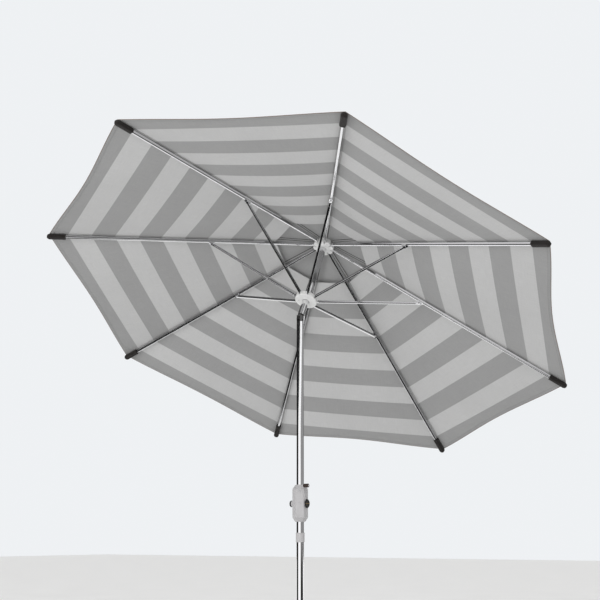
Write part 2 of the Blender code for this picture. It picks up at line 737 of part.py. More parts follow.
def main():
    for old in list(bpy.data.objects):
        bpy.data.objects.remove(old)

    chrome = material("polished_aluminium", (0.78, 0.78, 0.79), 0.18, 1.0)
    steel = material("zinc_steel", (0.6, 0.6, 0.61), 0.35, 1.0)
    brass = material("brass", (0.5, 0.36, 0.16), 0.4, 1.0)
    grey = material("light_grey_plastic", (0.56, 0.56, 0.57), 0.5)
    white = material("white_plastic", (0.78, 0.78, 0.78), 0.45)
    black = material("black_plastic", (0.015, 0.014, 0.013), 0.45)
    brown = material("brown_plastic", (0.06, 0.045, 0.04), 0.4)
    cord = material("white_cord", (0.6, 0.6, 0.58), 0.9)
    cloth = material("grey_striped_cloth", (0.42, 0.42, 0.42), 0.9)
    dark_cloth = material("grey_cloth", (0.27, 0.27, 0.27), 0.9)
    pocket = material("dark_pocket_cloth", (0.03, 0.025, 0.025), 0.8)

    foot_plug(black)
    lower_pole(chrome)
    pole_collar(grey)
    middle_pole(chrome)

    crank_housing(grey)
    housing_screws(steel)
    brake_drum(steel)
    shaft_bush(black)
    crank = frame_empty("crank_axis", (0, 0, CRANK_HEIGHT))
    crank_shaft(steel, crank)
    cord_spool(white, crank)
    brake_spring(steel, crank)
    shaft_end_cap(black, crank)
    crank_arm(grey, crank)
    crank_cap(black, crank)
    crank_cross_pin(brass, crank)
    crank_grip(brown, crank)

    tilt_fork(black)
    tilt_pins(steel)
    tilt_button(black)
    button_spring(steel)

    head = frame_empty("tilt_axis", (0, 0, PIVOT_HEIGHT), (-TILT, 0, 0))
    tilt_tongue(black, head)
    upper_pole(chrome, head)
    runner(white, head)
    crown_hub(white, head)
    crown_cap(white, head)
    finial(grey, head)
    pulley(white, head)
    pulley_pin(steel, head)
    lift_cords(cord, head)
    ribs_and_struts(chrome, pocket, head)
    canopy(cloth, head)
    vent_cap(dark_cloth, head)


main()
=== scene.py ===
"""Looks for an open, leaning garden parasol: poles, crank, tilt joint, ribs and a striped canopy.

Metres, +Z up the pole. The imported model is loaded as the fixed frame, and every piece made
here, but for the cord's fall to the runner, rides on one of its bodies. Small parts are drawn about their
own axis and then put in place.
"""

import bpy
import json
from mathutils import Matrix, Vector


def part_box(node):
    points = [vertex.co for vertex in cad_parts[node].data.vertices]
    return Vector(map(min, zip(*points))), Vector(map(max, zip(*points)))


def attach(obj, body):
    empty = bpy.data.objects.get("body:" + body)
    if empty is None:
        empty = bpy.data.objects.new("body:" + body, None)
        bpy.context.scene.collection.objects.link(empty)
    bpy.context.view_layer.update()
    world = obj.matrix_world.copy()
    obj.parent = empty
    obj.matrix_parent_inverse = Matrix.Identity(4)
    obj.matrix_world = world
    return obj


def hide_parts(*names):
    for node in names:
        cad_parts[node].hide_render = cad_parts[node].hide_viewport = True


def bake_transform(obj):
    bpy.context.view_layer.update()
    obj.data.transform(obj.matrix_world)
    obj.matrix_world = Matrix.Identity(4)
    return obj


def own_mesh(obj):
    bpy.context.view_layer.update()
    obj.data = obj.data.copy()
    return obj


bl_info = {
    "name": "Striped Garden Parasol",
    "version": (1, 0, 0),
    "blender": (4, 5, 0),
    "location": "3D View > Sidebar > Parasol",
    "description": "Builds a leaning crank parasol with a striped, vented canopy",
    "category": "Object",
}

import json
import math

import bmesh
import bpy
from mathutils import Matrix, Vector

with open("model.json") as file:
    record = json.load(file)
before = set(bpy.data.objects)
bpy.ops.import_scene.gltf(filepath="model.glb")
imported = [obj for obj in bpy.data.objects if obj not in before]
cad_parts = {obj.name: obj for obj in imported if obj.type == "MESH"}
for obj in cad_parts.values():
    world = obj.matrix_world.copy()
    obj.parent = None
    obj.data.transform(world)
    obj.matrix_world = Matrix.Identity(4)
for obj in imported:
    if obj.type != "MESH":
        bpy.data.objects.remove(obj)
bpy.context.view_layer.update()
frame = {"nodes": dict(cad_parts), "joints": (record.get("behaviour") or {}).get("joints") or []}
JOINTS = {joint["name"]: joint for joint in frame["joints"]}

# The leaning head: its pivot and the line of the upper pole
PIVOT = Vector(JOINTS["tilt"]["pos_m"])
UP = Vector(JOINTS["runner_slide"]["axis"]).normalized()
LEAN = math.atan2(UP.y, UP.z)
HEAD = Matrix.Translation(PIVOT) @ Matrix.Rotation(-LEAN, 4, "X")

CRANK_AT = Vector(JOINTS["crank_turn"]["pos_m"])
GRIP_AT = Vector(JOINTS["grip_spin"]["pos_m"])
CRANK_THROW = (GRIP_AT - CRANK_AT).yz.length
CRANK_ANGLE = math.atan2(CRANK_AT.y - GRIP_AT.y, GRIP_AT.z - CRANK_AT.z)

# Sizes that the frame shares, in metres
GAP = 0.0003
POLE_WALL = 0.0015
RIB_COUNT = 8
RIB_START = math.radians(-8)
RIB_SLOPE = math.radians(18.3)
HUB_HEIGHT = 0.488
RIB_PIVOT_RADIUS = 0.046
STRUT_REACH = 0.549
STRUT_DROP = 0.017
RUNNER_HEIGHT = 0.122
STRUT_PIVOT_RADIUS = 0.043
TONGUE_WIDTH = 0.0076
SLOT_WIDTH = 0.0082
PIN_RADIUS = 0.0022
CANOPY_CLEARANCE = 0.013
GRIP_START = 0.0386
GRIP_END = 0.0655
CORD_RADIUS = 0.0015
PULLEY_RADIUS = 0.01025
PULLEY_DROP = 0.042
BUTTON_DROP = 0.034
HOUSING_WALL = 0.003
CAP_SLOPE = math.radians(15)
# From the crown's centre up to the flat middle of the vent cap
CAP_RISE = 0.0206
SCREW_HEIGHTS = (0.9465, 1.003)
SCREW_SIDE = math.radians(-60)
HALF_PANEL = math.pi / RIB_COUNT
PANEL_SLOPE = math.atan(math.tan(RIB_SLOPE) / math.cos(HALF_PANEL))
# How far each panel's rim pulls in between its two ribs
EDGE_DIPS = (0.029, 0.017, 0.020, 0.012, 0.013, 0.020, 0.016, 0.018)
# How far a row of stitches lies from the line that it follows
STITCH_INSET = 0.0035
# The studio's front, where the camera stands, as a turn from -Y
STUDIO_TURN = math.radians(33.20)
# Cloth length down a panel for each metre of corner radius
CLOTH_RUN = math.hypot(math.cos(HALF_PANEL), math.tan(RIB_SLOPE))


# ---------------------------------------------------------------- settings


def length(name, text, default):
    return bpy.props.FloatProperty(
        name=name, description=text, default=default, min=0, unit="LENGTH", precision=4
    )


def watts(name, text, default):
    return bpy.props.FloatProperty(name=name, description=text, default=default, min=0, subtype="POWER")


def paint(name, text, default):
    return bpy.props.FloatVectorProperty(
        name=name, description=text, default=default, min=0, max=1, size=3, subtype="COLOR"
    )


class ParasolFrameSizes(bpy.types.PropertyGroup):
    pole_radius: length("Pole radius", "Outer radius of the poles", 0.0175)
    rib_length: length("Rib length", "From the crown pivot to the tip", 1.36)
    rib_width: length("Rib width", "Across one rib", 0.012)
    rib_height: length("Rib height", "From the top to the underside of a rib", 0.018)
    strut_width: length("Strut width", "Across one strut", 0.011)
    strut_height: length("Strut height", "From the top to the underside of a strut", 0.013)
    hub_radius: length("Crown radius", "Radius of the crown's lobes", 0.056)
    runner_radius: length("Runner radius", "Radius of the sliding ring", 0.0565)
    housing_half: length("Housing half width", "From the pole's centre to a flat of the crank box", 0.0333)


class ParasolClothSizes(bpy.types.PropertyGroup):
    canopy_radius: length("Canopy radius", "From the pole's line to a corner", 1.365)
    vent_radius: length("Vent radius", "From the pole's line to a corner of the vent", 0.25)
    cap_radius: length("Vent cap radius", "From the pole's line to a corner of the cap", 0.33)
    edge_stripe: length("Edge stripe", "Width of the dark stripe at the rim", 0.088)
    stripe: length("Stripe", "Width of every other stripe", 0.1115)
    sag: length("Sag", "How far the cloth hangs between two ribs", 0.010)
    hem: length("Hem", "Width of the folded hem", 0.02)
    seam: length("Seam", "Half width of the felled seam along a rib", 0.0135)
    thread: length("Thread pitch", "Distance between two threads of the weave", 0.0007)


class ParasolColours(bpy.types.PropertyGroup):
    light_stripe: paint("Light stripe", "Cloth of the light stripes", (0.50, 0.50, 0.50))
    dark_stripe: paint("Dark stripe", "Cloth of the dark stripes", (0.31, 0.31, 0.31))
    vent_cloth: paint("Vent cloth", "Cloth of the vent cap", (0.33, 0.33, 0.33))
    pocket_cloth: paint("Pocket cloth", "Cloth of the tip pockets", (0.016, 0.0135, 0.0125))
    housing: paint("Crank box", "Moulded crank box and collar", (0.47, 0.462, 0.47))
    white_parts: paint("White mouldings", "Crown, runner and crown cap", (0.74, 0.74, 0.735))
    black_parts: paint("Black mouldings", "Tilt joint, foot and caps", (0.009, 0.0085, 0.008))
    grip: paint("Grip", "Moulded crank grip", (0.05, 0.035, 0.03))
    floor: paint("Floor", "The pale floor", (0.86, 0.86, 0.855))


class ParasolLight(bpy.types.PropertyGroup):
    fill: bpy.props.FloatProperty(
        name="Fill", description="Strength of the even studio light", default=0.94, min=0
    )
    key: watts("Key", "Key light", 70)
    side: watts("Side", "Side light", 4)
    low: watts("Low", "Light from below", 9)


def frame_sizes():
    return bpy.context.scene.parasol_frame


def cloth_sizes():
    return bpy.context.scene.parasol_cloth


def colours():
    return bpy.context.scene.parasol_colours


# ---------------------------------------------------------------- drawing meshes


def soften(corners, radius, steps=3, closed=True):
    """Round the corners of an outline. An open outline keeps its two ends."""
    points = []
    count = len(corners)
    for i, corner in enumerate(corners):
        here = Vector(corner)
        if not closed and i in (0, count - 1):
            points.append(tuple(here))
            continue
        before = Vector(corners[i - 1]) - here
        after = Vector(corners[(i + 1) % count]) - here
        start = here + before.normalized() * min(radius, before.length * 0.45)
        end = here + after.normalized() * min(radius, after.length * 0.45)
        for step in range(steps + 1):
            t = step / steps
            points.append(tuple(start * (1 - t) ** 2 + here * 2 * t * (1 - t) + end * t * t))
    return points


def arc(radius, start, end, steps, center=(0, 0)):
    """Points on a circle, from one angle to another, in degrees."""
    points = []
    for i in range(steps + 1):
        angle = math.radians(start + (end - start) * i / steps)
        points.append((center[0] + radius * math.cos(angle), center[1] + radius * math.sin(angle)))
    return points


def mesh_from(verts, faces, name="piece"):
    bm = bmesh.new()
    made = [bm.verts.new(point) for point in verts]
    for face in faces:
        bm.faces.new([made[i] for i in face])
    bmesh.ops.recalc_face_normals(bm, faces=bm.faces)
    mesh = bpy.data.meshes.new(name)
    bm.to_mesh(mesh)
    bm.free()
    return mesh


def loft(rings, capped=True, looped=False):
    """Skin a list of closed rings of equal count."""
    count = len(rings[0])
    verts = [point for ring in rings for point in ring]
    faces = []
    for row in range(len(rings) - (0 if looped else 1)):
        low = row * count
        high = (row + 1) % len(rings) * count
        for i in range(count):
            j = (i + 1) % count
            faces.append((low + i, low + j, high + j, high + i))
    if capped and not looped:
        faces.append(tuple(range(count)))
        faces.append(tuple(range(len(verts) - count, len(verts))))
    return mesh_from(verts, faces)


STAND = {
    "Z": Matrix.Identity(4),
    "X": Matrix.Rotation(math.pi / 2, 4, "Y"),
    "Y": Matrix.Rotation(-math.pi / 2, 4, "X"),
}


def turned(profile, segments=72, axis="Z", waver=None):
    """Revolve (radius, height) points. One that starts on the axis is solid, else it is a ring."""
    solid = profile[0][0] == 0
    rows = profile[1:-1] if solid else profile
    rings = []
    for radius, height in rows:
        ring = []
        for i in range(segments):
            angle = 2 * math.pi * i / segments
            reach = radius * waver(angle, radius) if waver else radius
            ring.append((reach * math.cos(angle), reach * math.sin(angle), height))
        rings.append(ring)
    mesh = loft(rings, capped=solid, looped=not solid)
    mesh.transform(STAND[axis])
    return mesh


def cylinder(radius, low, high, axis="Z", segments=32):
    return turned([(0, low), (radius, low), (radius, high), (0, high)], segments, axis)


def prism(outline, low, high, axis="Z", edge=0.0):
    """Extrude an outline and round its edges. Along X its points are (y, z), along Y (x, z)."""
    lift = {
        "Z": lambda a, b, h: (a, b, h),
        "X": lambda a, b, h: (h, a, b),
        "Y": lambda a, b, h: (a, h, b),
    }[axis]
    mesh = loft([[lift(a, b, h) for a, b in outline] for h in (low, high)])
    if edge:
        bm = bmesh.new()
        bm.from_mesh(mesh)
        rims = [e for e in bm.edges if e.is_manifold and e.calc_face_angle() > math.radians(60)]
        bmesh.ops.bevel(bm, geom=rims, offset=edge, segments=2, affect="EDGES", profile=0.6)
        bm.to_mesh(mesh)
        bm.free()
    return mesh


def box(low, high, edge=0.0):
    outline = [(low[0], low[1]), (high[0], low[1]), (high[0], high[1]), (low[0], high[1])]
    return prism(outline, low[2], high[2], "Z", edge)


def moved(mesh, matrix):
    mesh.transform(matrix)
    return mesh


def shifted(mesh, x=0.0, y=0.0, z=0.0):
    return moved(mesh, Matrix.Translation((x, y, z)))


def spun(mesh, angle, axis="Z"):
    return moved(mesh, Matrix.Rotation(angle, 4, axis))


def gathered(meshes):
    """One mesh that holds the given ones."""
    bm = bmesh.new()
    for mesh in meshes:
        bm.from_mesh(mesh)
        bpy.data.meshes.remove(mesh)
    whole = bpy.data.meshes.new("gathered")
    bm.to_mesh(whole)
    bm.free()
    return whole


def ring_of(make):
    """One copy for each rib, set evenly about the pole."""
    return gathered([spun(make(), RIB_START + 2 * math.pi * i / RIB_COUNT) for i in range(RIB_COUNT)])


# What a step of carved() does with its mesh
CUT, JOIN, COMMON = "DIFFERENCE", "UNION", "INTERSECT"


def carved(base, *steps):
    """Apply (operation, mesh) steps to a mesh with Booleans."""
    host = bpy.data.objects.new("host", base)
    bpy.context.scene.collection.objects.link(host)
    for operation, mesh in steps:
        tool = bpy.data.objects.new("tool", mesh)
        bpy.context.scene.collection.objects.link(tool)
        step = host.modifiers.new("carve", "BOOLEAN")
        step.operation = operation
        step.object = tool
        state = bpy.context.evaluated_depsgraph_get()
        result = bpy.data.meshes.new_from_object(host.evaluated_get(state))
        host.modifiers.clear()
        host.data = result
        bpy.data.objects.remove(tool)
    mesh = host.data
    bpy.data.objects.remove(host)
    bm = bmesh.new()
    bm.from_mesh(mesh)
    bmesh.ops.remove_doubles(bm, verts=bm.verts, dist=2e-6)
    bmesh.ops.dissolve_limit(bm, angle_limit=math.radians(0.3), verts=bm.verts, edges=bm.edges)
    bm.to_mesh(mesh)
    bm.free()
    return mesh


def rounded(mesh, size, angle=40, segments=2):
    """Round every edge sharper than the angle."""
    holder = bpy.data.objects.new("holder", mesh)
    bpy.context.scene.collection.objects.link(holder)
    soft = holder.modifiers.new("soft", "BEVEL")
    soft.width = size
    soft.segments = segments
    soft.limit_method = "ANGLE"
    soft.angle_limit = math.radians(angle)
    soft.use_clamp_overlap = True
    state = bpy.context.evaluated_depsgraph_get()
    result = bpy.data.meshes.new_from_object(holder.evaluated_get(state))
    bpy.data.objects.remove(holder)
    return result


def put(name, mesh, look, body, stands_for=(), at=None, sharp=42):
    """Make a piece of the object: finish its mesh, place it, and let it ride on a body."""
    mesh.name = name
    mesh.shade_smooth()
    mesh.set_sharp_from_angle(angle=math.radians(sharp))
    piece = bpy.data.objects.new(name, mesh)
    bpy.context.scene.collection.objects.link(piece)
    for one in look if isinstance(look, list) else [look]:
        mesh.materials.append(one)
    if at is not None:
        piece.matrix_world = at
    even = piece.modifiers.new("even_shading", "WEIGHTED_NORMAL")
    even.keep_sharp = True
    if body:
        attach(piece, body)
    if stands_for:
        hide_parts(*stands_for)
    return piece


def tube_along(points, radius, sides=10, beside=(1, 0, 0)):
    """A closed round tube that follows points. beside is a direction that they never run along."""
    rings = []
    line = [Vector(p) for p in points]
    for i, point in enumerate(line):
        ahead = (line[min(i + 1, len(line) - 1)] - line[max(i - 1, 0)]).normalized()
        across = ahead.cross(Vector(beside)).normalized()
        other = across.cross(ahead)
        ring = []
        for side in range(sides):
            angle = 2 * math.pi * side / sides
            ring.append(point + (across * math.cos(angle) + other * math.sin(angle)) * radius)
        rings.append(ring)
    return loft(rings)


# ---------------------------------------------------------------- shader groups


def add(tree, kind, **settings):
    node = tree.nodes.new("ShaderNode" + kind)
    for key, value in settings.items():
        setattr(node, key, value)
    return node


def feed(tree, source, target):
    """Link a socket, or set a number, a vector or a colour on the target."""
    if isinstance(source, bpy.types.NodeSocket):
        tree.links.new(source, target)
    else:
        target.default_value = source


def maths(tree, operation, a, b=None, c=None, clamp=False):
    node = add(tree, "Math", operation=operation, use_clamp=clamp)
    for value, socket in zip((a, b, c), node.inputs):
        if value is not None:
            feed(tree, value, socket)
    return node.outputs[0]


def times(tree, a, b):
    return maths(tree, "MULTIPLY", a, b)


def plus(tree, a, b):
    return maths(tree, "ADD", a, b)


def minus(tree, a, b):
    return maths(tree, "SUBTRACT", a, b)


def ramp(tree, value, low, high, start=0.0, end=1.0, smooth=True):
    """Map low..high of a value to start..end."""
    node = add(tree, "MapRange", interpolation_type="SMOOTHSTEP" if smooth else "LINEAR")
    for item, socket in zip((value, low, high, start, end), node.inputs):
        feed(tree, item, socket)
    return node.outputs[0]


def noise(tree, vector, scale, detail=2.0, roughness=0.5):
    node = add(tree, "TexNoise")
    feed(tree, vector, node.inputs["Vector"])
    feed(tree, scale, node.inputs["Scale"])
    feed(tree, detail, node.inputs["Detail"])
    feed(tree, roughness, node.inputs["Roughness"])
    return node.outputs["Fac"]


def stretched(tree, vector, scale):
    node = add(tree, "VectorMath", operation="MULTIPLY")
    feed(tree, vector, node.inputs[0])
    feed(tree, scale, node.inputs[1])
    return node.outputs[0]


def mixed(tree, share_of, a, b):
    node = add(tree, "Mix", data_type="RGBA")
    feed(tree, share_of, node.inputs[0])
    feed(tree, a, node.inputs[6])
    feed(tree, b, node.inputs[7])
    return node.outputs[2]


def toned(tree, colour, value):
    """Multiply a colour by a value near 1."""
    node = add(tree, "VectorMath", operation="SCALE")
    feed(tree, colour if isinstance(colour, bpy.types.NodeSocket) else colour[:3], node.inputs[0])
    feed(tree, value, node.inputs["Scale"])
    return node.outputs[0]


def new_group(name, ins, outs):
    """An empty node group. ins are (name, kind, default) and outs are the names of its values."""
    group = bpy.data.node_groups.new(name, "ShaderNodeTree")
    for label, kind, default in ins:
        socket = group.interface.new_socket(label, in_out="INPUT", socket_type="NodeSocket" + kind)
        if default is not None:
            socket.default_value = default
    for label in outs:
        group.interface.new_socket(label, in_out="OUTPUT", socket_type="NodeSocketFloat")
    return group, group.nodes.new("NodeGroupInput").outputs, group.nodes.new("NodeGroupOutput").inputs


def moulding_group():
    """Fine spark-eroded grain, slow mottling and a scatter of dust for moulded plastic."""
    ins = [("Vector", "Vector", None), ("Grain", "Float", 1800.0), ("Mottle", "Float", 22.0)]
    group, given, out = new_group("moulded_grain", ins, ["Height", "Mottle", "Dust"])
    grain = noise(group, given["Vector"], given["Grain"], 3.0, 0.6)
    slow = noise(group, given["Vector"], given["Mottle"], 4.0, 0.55)
    specks = noise(group, given["Vector"], 340.0, 2.0, 0.7)
    settled = noise(group, given["Vector"], 9.0, 3.0, 0.5)
    dust = times(group, ramp(group, specks, 0.56, 0.72), ramp(group, settled, 0.45, 0.7))
    feed(group, grain, out["Height"])
    feed(group, slow, out["Mottle"])
    feed(group, dust, out["Dust"])
    return group


def drawn_group():
    """Long fine lines left by drawing and polishing a tube, with a few smudges."""
    ins = [("Vector", "Vector", None), ("Stretch", "Vector", (1.0, 1.0, 0.01)), ("Lines", "Float", 900.0)]
    group, given, out = new_group("drawn_lines", ins, ["Lines", "Height", "Smudge"])
    along = stretched(group, given["Vector"], given["Stretch"])
    fine = noise(group, along, given["Lines"], 2.0, 0.6)
    wide = noise(group, along, 160.0, 2.0, 0.5)
    both = plus(group, times(group, fine, 0.65), times(group, wide, 0.35))
    smudge = ramp(group, noise(group, given["Vector"], 14.0, 4.0, 0.6), 0.5, 0.78)
    feed(group, both, out["Lines"])
    feed(group, fine, out["Height"])
    feed(group, smudge, out["Smudge"])
    return group


def wear_group():
    """A mask of the edges, broken up, where handling has rubbed the surface."""
    ins = [("Vector", "Vector", None), ("Width", "Float", 0.0008), ("Break", "Float", 260.0)]
    group, given, out = new_group("rubbed_edges", ins, ["Mask"])
    rounded_normal = add(group, "Bevel", samples=4)
    feed(group, given["Width"], rounded_normal.inputs["Radius"])
    plain = add(group, "NewGeometry")
    dot = add(group, "VectorMath", operation="DOT_PRODUCT")
    feed(group, rounded_normal.outputs[0], dot.inputs[0])
    feed(group, plain.outputs["Normal"], dot.inputs[1])
    edge = ramp(group, dot.outputs["Value"], 0.995, 0.9)
    patchy = ramp(group, noise(group, given["Vector"], given["Break"], 3.0, 0.6), 0.4, 0.62)
    feed(group, times(group, edge, patchy), out["Mask"])
    return group


def weave_group():
    """A plain weave in metres along U and V: thread height, and the tone of each yarn."""
    ins = [("Vector", "Vector", None), ("Pitch", "Float", 0.0007), ("Slub", "Float", 1.0)]
    group, given, out = new_group("plain_weave", ins, ["Height", "Tone", "Slow"])
    parts = add(group, "SeparateXYZ")
    feed(group, given["Vector"], parts.inputs[0])
    per_metre = maths(group, "DIVIDE", math.pi, given["Pitch"])
    over = maths(group, "SINE", times(group, parts.outputs[0], per_metre))
    under = maths(group, "SINE", times(group, parts.outputs[1], per_metre))
    feed(group, times(group, over, under), out["Height"])
    weft = noise(group, stretched(group, given["Vector"], (14.0, 900.0, 0.0)), 1.0, 2.0, 0.6)
    warp = noise(group, stretched(group, given["Vector"], (900.0, 14.0, 0.0)), 1.0, 2.0, 0.6)
    yarn = minus(group, plus(group, weft, warp), 1.0)
    slubbed = times(group, yarn, given["Slub"])
    feed(group, maths(group, "MULTIPLY_ADD", slubbed, 0.3, 1.0), out["Tone"])
    slow = noise(group, stretched(group, given["Vector"], (2.2, 2.2, 0.0)), 1.0, 3.0, 0.5)
    feed(group, ramp(group, slow, 0.25, 0.75, 0.97, 1.03), out["Slow"])
    return group


def stitch_group():
    """A row of thread stitches: how far along it, how far off its line, stitch length and width."""
    ins = [("Along", "Float", 0.0), ("Off", "Float", 0.0)]
    ins += [("Stitch", "Float", 0.0035), ("Width", "Float", 0.0005)]
    group, given, out = new_group("stitch_row", ins, ["Mask", "Pucker"])
    off = maths(group, "ABSOLUTE", given["Off"])
    across = ramp(group, maths(group, "DIVIDE", off, given["Width"]), 1.2, 0.7)
    beat = maths(group, "FRACT", maths(group, "DIVIDE", given["Along"], given["Stitch"]))
    dash = ramp(group, maths(group, "ABSOLUTE", minus(group, beat, 0.5)), 0.42, 0.36)
    feed(group, times(group, across, dash), out["Mask"])
    near = ramp(group, off, 0.006, 0.0)
    wave = maths(group, "SINE", times(group, given["Along"], 520.0))
    feed(group, times(group, near, wave), out["Pucker"])
    return group


GROUPS = {}


def use_group(tree, name, **values):
    """Place one of the shared groups, which is built the first time it is asked for."""
    makers = {
        "moulding": moulding_group,
        "drawn": drawn_group,
        "wear": wear_group,
        "weave": weave_group,
        "stitch": stitch_group,
    }
    if name not in GROUPS:
        GROUPS[name] = makers[name]()
    node = tree.nodes.new("ShaderNodeGroup")
    node.node_tree = GROUPS[name]
    for label, value in values.items():
        feed(tree, value, node.inputs[label])
    return node.outputs


# ---------------------------------------------------------------- materials


LOOKS = {}


def made_once(make):
    """Make each material once. It is named after its function unless it is given a name."""

    def look(name=make.__name__, *values):
        if name not in LOOKS:
            LOOKS[name] = make(name, *values)
        return LOOKS[name]

    return look


def fresh(name):
    """A new material with its tree and its shader."""
    made = bpy.data.materials.new(name)
    made.use_nodes = True
    return made, made.node_tree, made.node_tree.nodes["Principled BSDF"]


def in_metres(tree):
    """The piece's own coordinates."""
    return add(tree, "TexCoord").outputs["Object"]


def raise_surface(tree, shader, *layers):
    """Chain bumps. Each layer is (height, distance, strength)."""
    normal = None
    for height, distance, strength in layers:
        bump = add(tree, "Bump")
        feed(tree, height, bump.inputs["Height"])
        bump.inputs["Distance"].default_value = distance
        bump.inputs["Strength"].default_value = strength
        if normal is not None:
            tree.links.new(normal, bump.inputs["Normal"])
        normal = bump.outputs[0]
    tree.links.new(normal, shader.inputs["Normal"])


@made_once
def moulded(name, colour, roughness, grain_depth=0.00004, worn=0.12, coat=0.0):
    """Moulded plastic with grain, faint mottling, dust and lighter rubbed edges."""
    made, tree, shader = fresh(name)
    where = in_metres(tree)
    grain = use_group(tree, "moulding", Vector=where)
    rubbed = use_group(tree, "wear", Vector=where)["Mask"]
    base = (*colour, 1.0)
    lifted = tuple(c + (0.75 - c) * 0.35 for c in colour) + (1.0,)
    tone = ramp(tree, grain["Mottle"], 0.3, 0.7, 0.955, 1.045)
    body = toned(tree, base, tone)
    edged = mixed(tree, times(tree, rubbed, worn), body, lifted)
    dusty = mixed(tree, times(tree, grain["Dust"], 0.10), edged, (0.5, 0.48, 0.45, 1.0))
    tree.links.new(dusty, shader.inputs["Base Color"])
    rough = ramp(tree, grain["Mottle"], 0.25, 0.75, roughness - 0.07, roughness + 0.07)
    tree.links.new(maths(tree, "MULTIPLY_ADD", grain["Dust"], 0.2, rough), shader.inputs["Roughness"])
    shader.inputs["Coat Weight"].default_value = coat
    shader.inputs["Coat Roughness"].default_value = 0.08
    shader.inputs["Specular IOR Level"].default_value = 0.5 + 0.5 * coat
    raise_surface(tree, shader, (grain["Height"], grain_depth, 0.5))
    return made


@made_once
def drawn_metal(name, colour, roughness, stretch, spread=0.05, dull=0.10):
    """Drawn and polished metal, with lines along one axis and soft smudges."""
    made, tree, shader = fresh(name)
    where = in_metres(tree)
    lines = use_group(tree, "drawn", Vector=where, Stretch=stretch)
    rubbed = use_group(tree, "wear", Vector=where, Width=0.0006)["Mask"]
    tone = ramp(tree, lines["Lines"], 0.3, 0.7, 0.95, 1.03)
    body = toned(tree, (*colour, 1.0), tone)
    bright = tuple(min(1.0, c * 1.12) for c in colour) + (1.0,)
    edged = mixed(tree, times(tree, rubbed, 0.5), body, bright)
    tree.links.new(edged, shader.inputs["Base Color"])
    low = max(0.02, roughness - spread)
    rough = ramp(tree, lines["Lines"], 0.3, 0.7, low, roughness + spread)
    tree.links.new(maths(tree, "MULTIPLY_ADD", lines["Smudge"], dull, rough), shader.inputs["Roughness"])
    shader.inputs["Metallic"].default_value = 1.0
    raise_surface(tree, shader, (lines["Height"], 0.000012, 0.35))
    return made


def pole_metal():
    return drawn_metal("polished_pole", (0.83, 0.83, 0.84), 0.075, (1.0, 1.0, 0.008), 0.03, 0.05)


def rib_metal():
    return drawn_metal("polished_rib", (0.80, 0.80, 0.81), 0.10, (0.008, 1.0, 1.0), 0.04, 0.06)


def plated_steel():
    return drawn_metal("plated_steel", (0.62, 0.62, 0.63), 0.30, (1.0, 1.0, 1.0), 0.08, 0.10)


def dull_brass():
    return drawn_metal("dull_brass", (0.55, 0.38, 0.17), 0.36, (1.0, 0.05, 1.0), 0.08, 0.12)


def housing_plastic():
    return moulded("crank_box_grey", colours().housing, 0.42, 0.00005, 0.25)


def white_plastic():
    return moulded("crown_white", colours().white_parts, 0.38, 0.00003, 0.1)


def black_plastic():
    return moulded("joint_black", colours().black_parts, 0.33, 0.00003, 0.10)


def joint_plastic():
    return moulded("joint_gloss_black", colours().black_parts, 0.14, 0.00001, 0.06, 1.0)


def grip_plastic():
    return moulded("grip_brown", colours().grip, 0.30, 0.00003, 0.12, 0.2)


def cloth_places(tree):
    """The cloth's own coordinates: across, down from the rim, from the rib, and from the cut edge."""
    own = add(tree, "Attribute", attribute_name="cloth")
    parts = add(tree, "SeparateXYZ")
    tree.links.new(own.outputs["Vector"], parts.inputs[0])
    hem = add(tree, "Attribute", attribute_name="hem")
    return own.outputs["Vector"], parts.outputs[0], parts.outputs[1], parts.outputs[2], hem.outputs["Fac"]


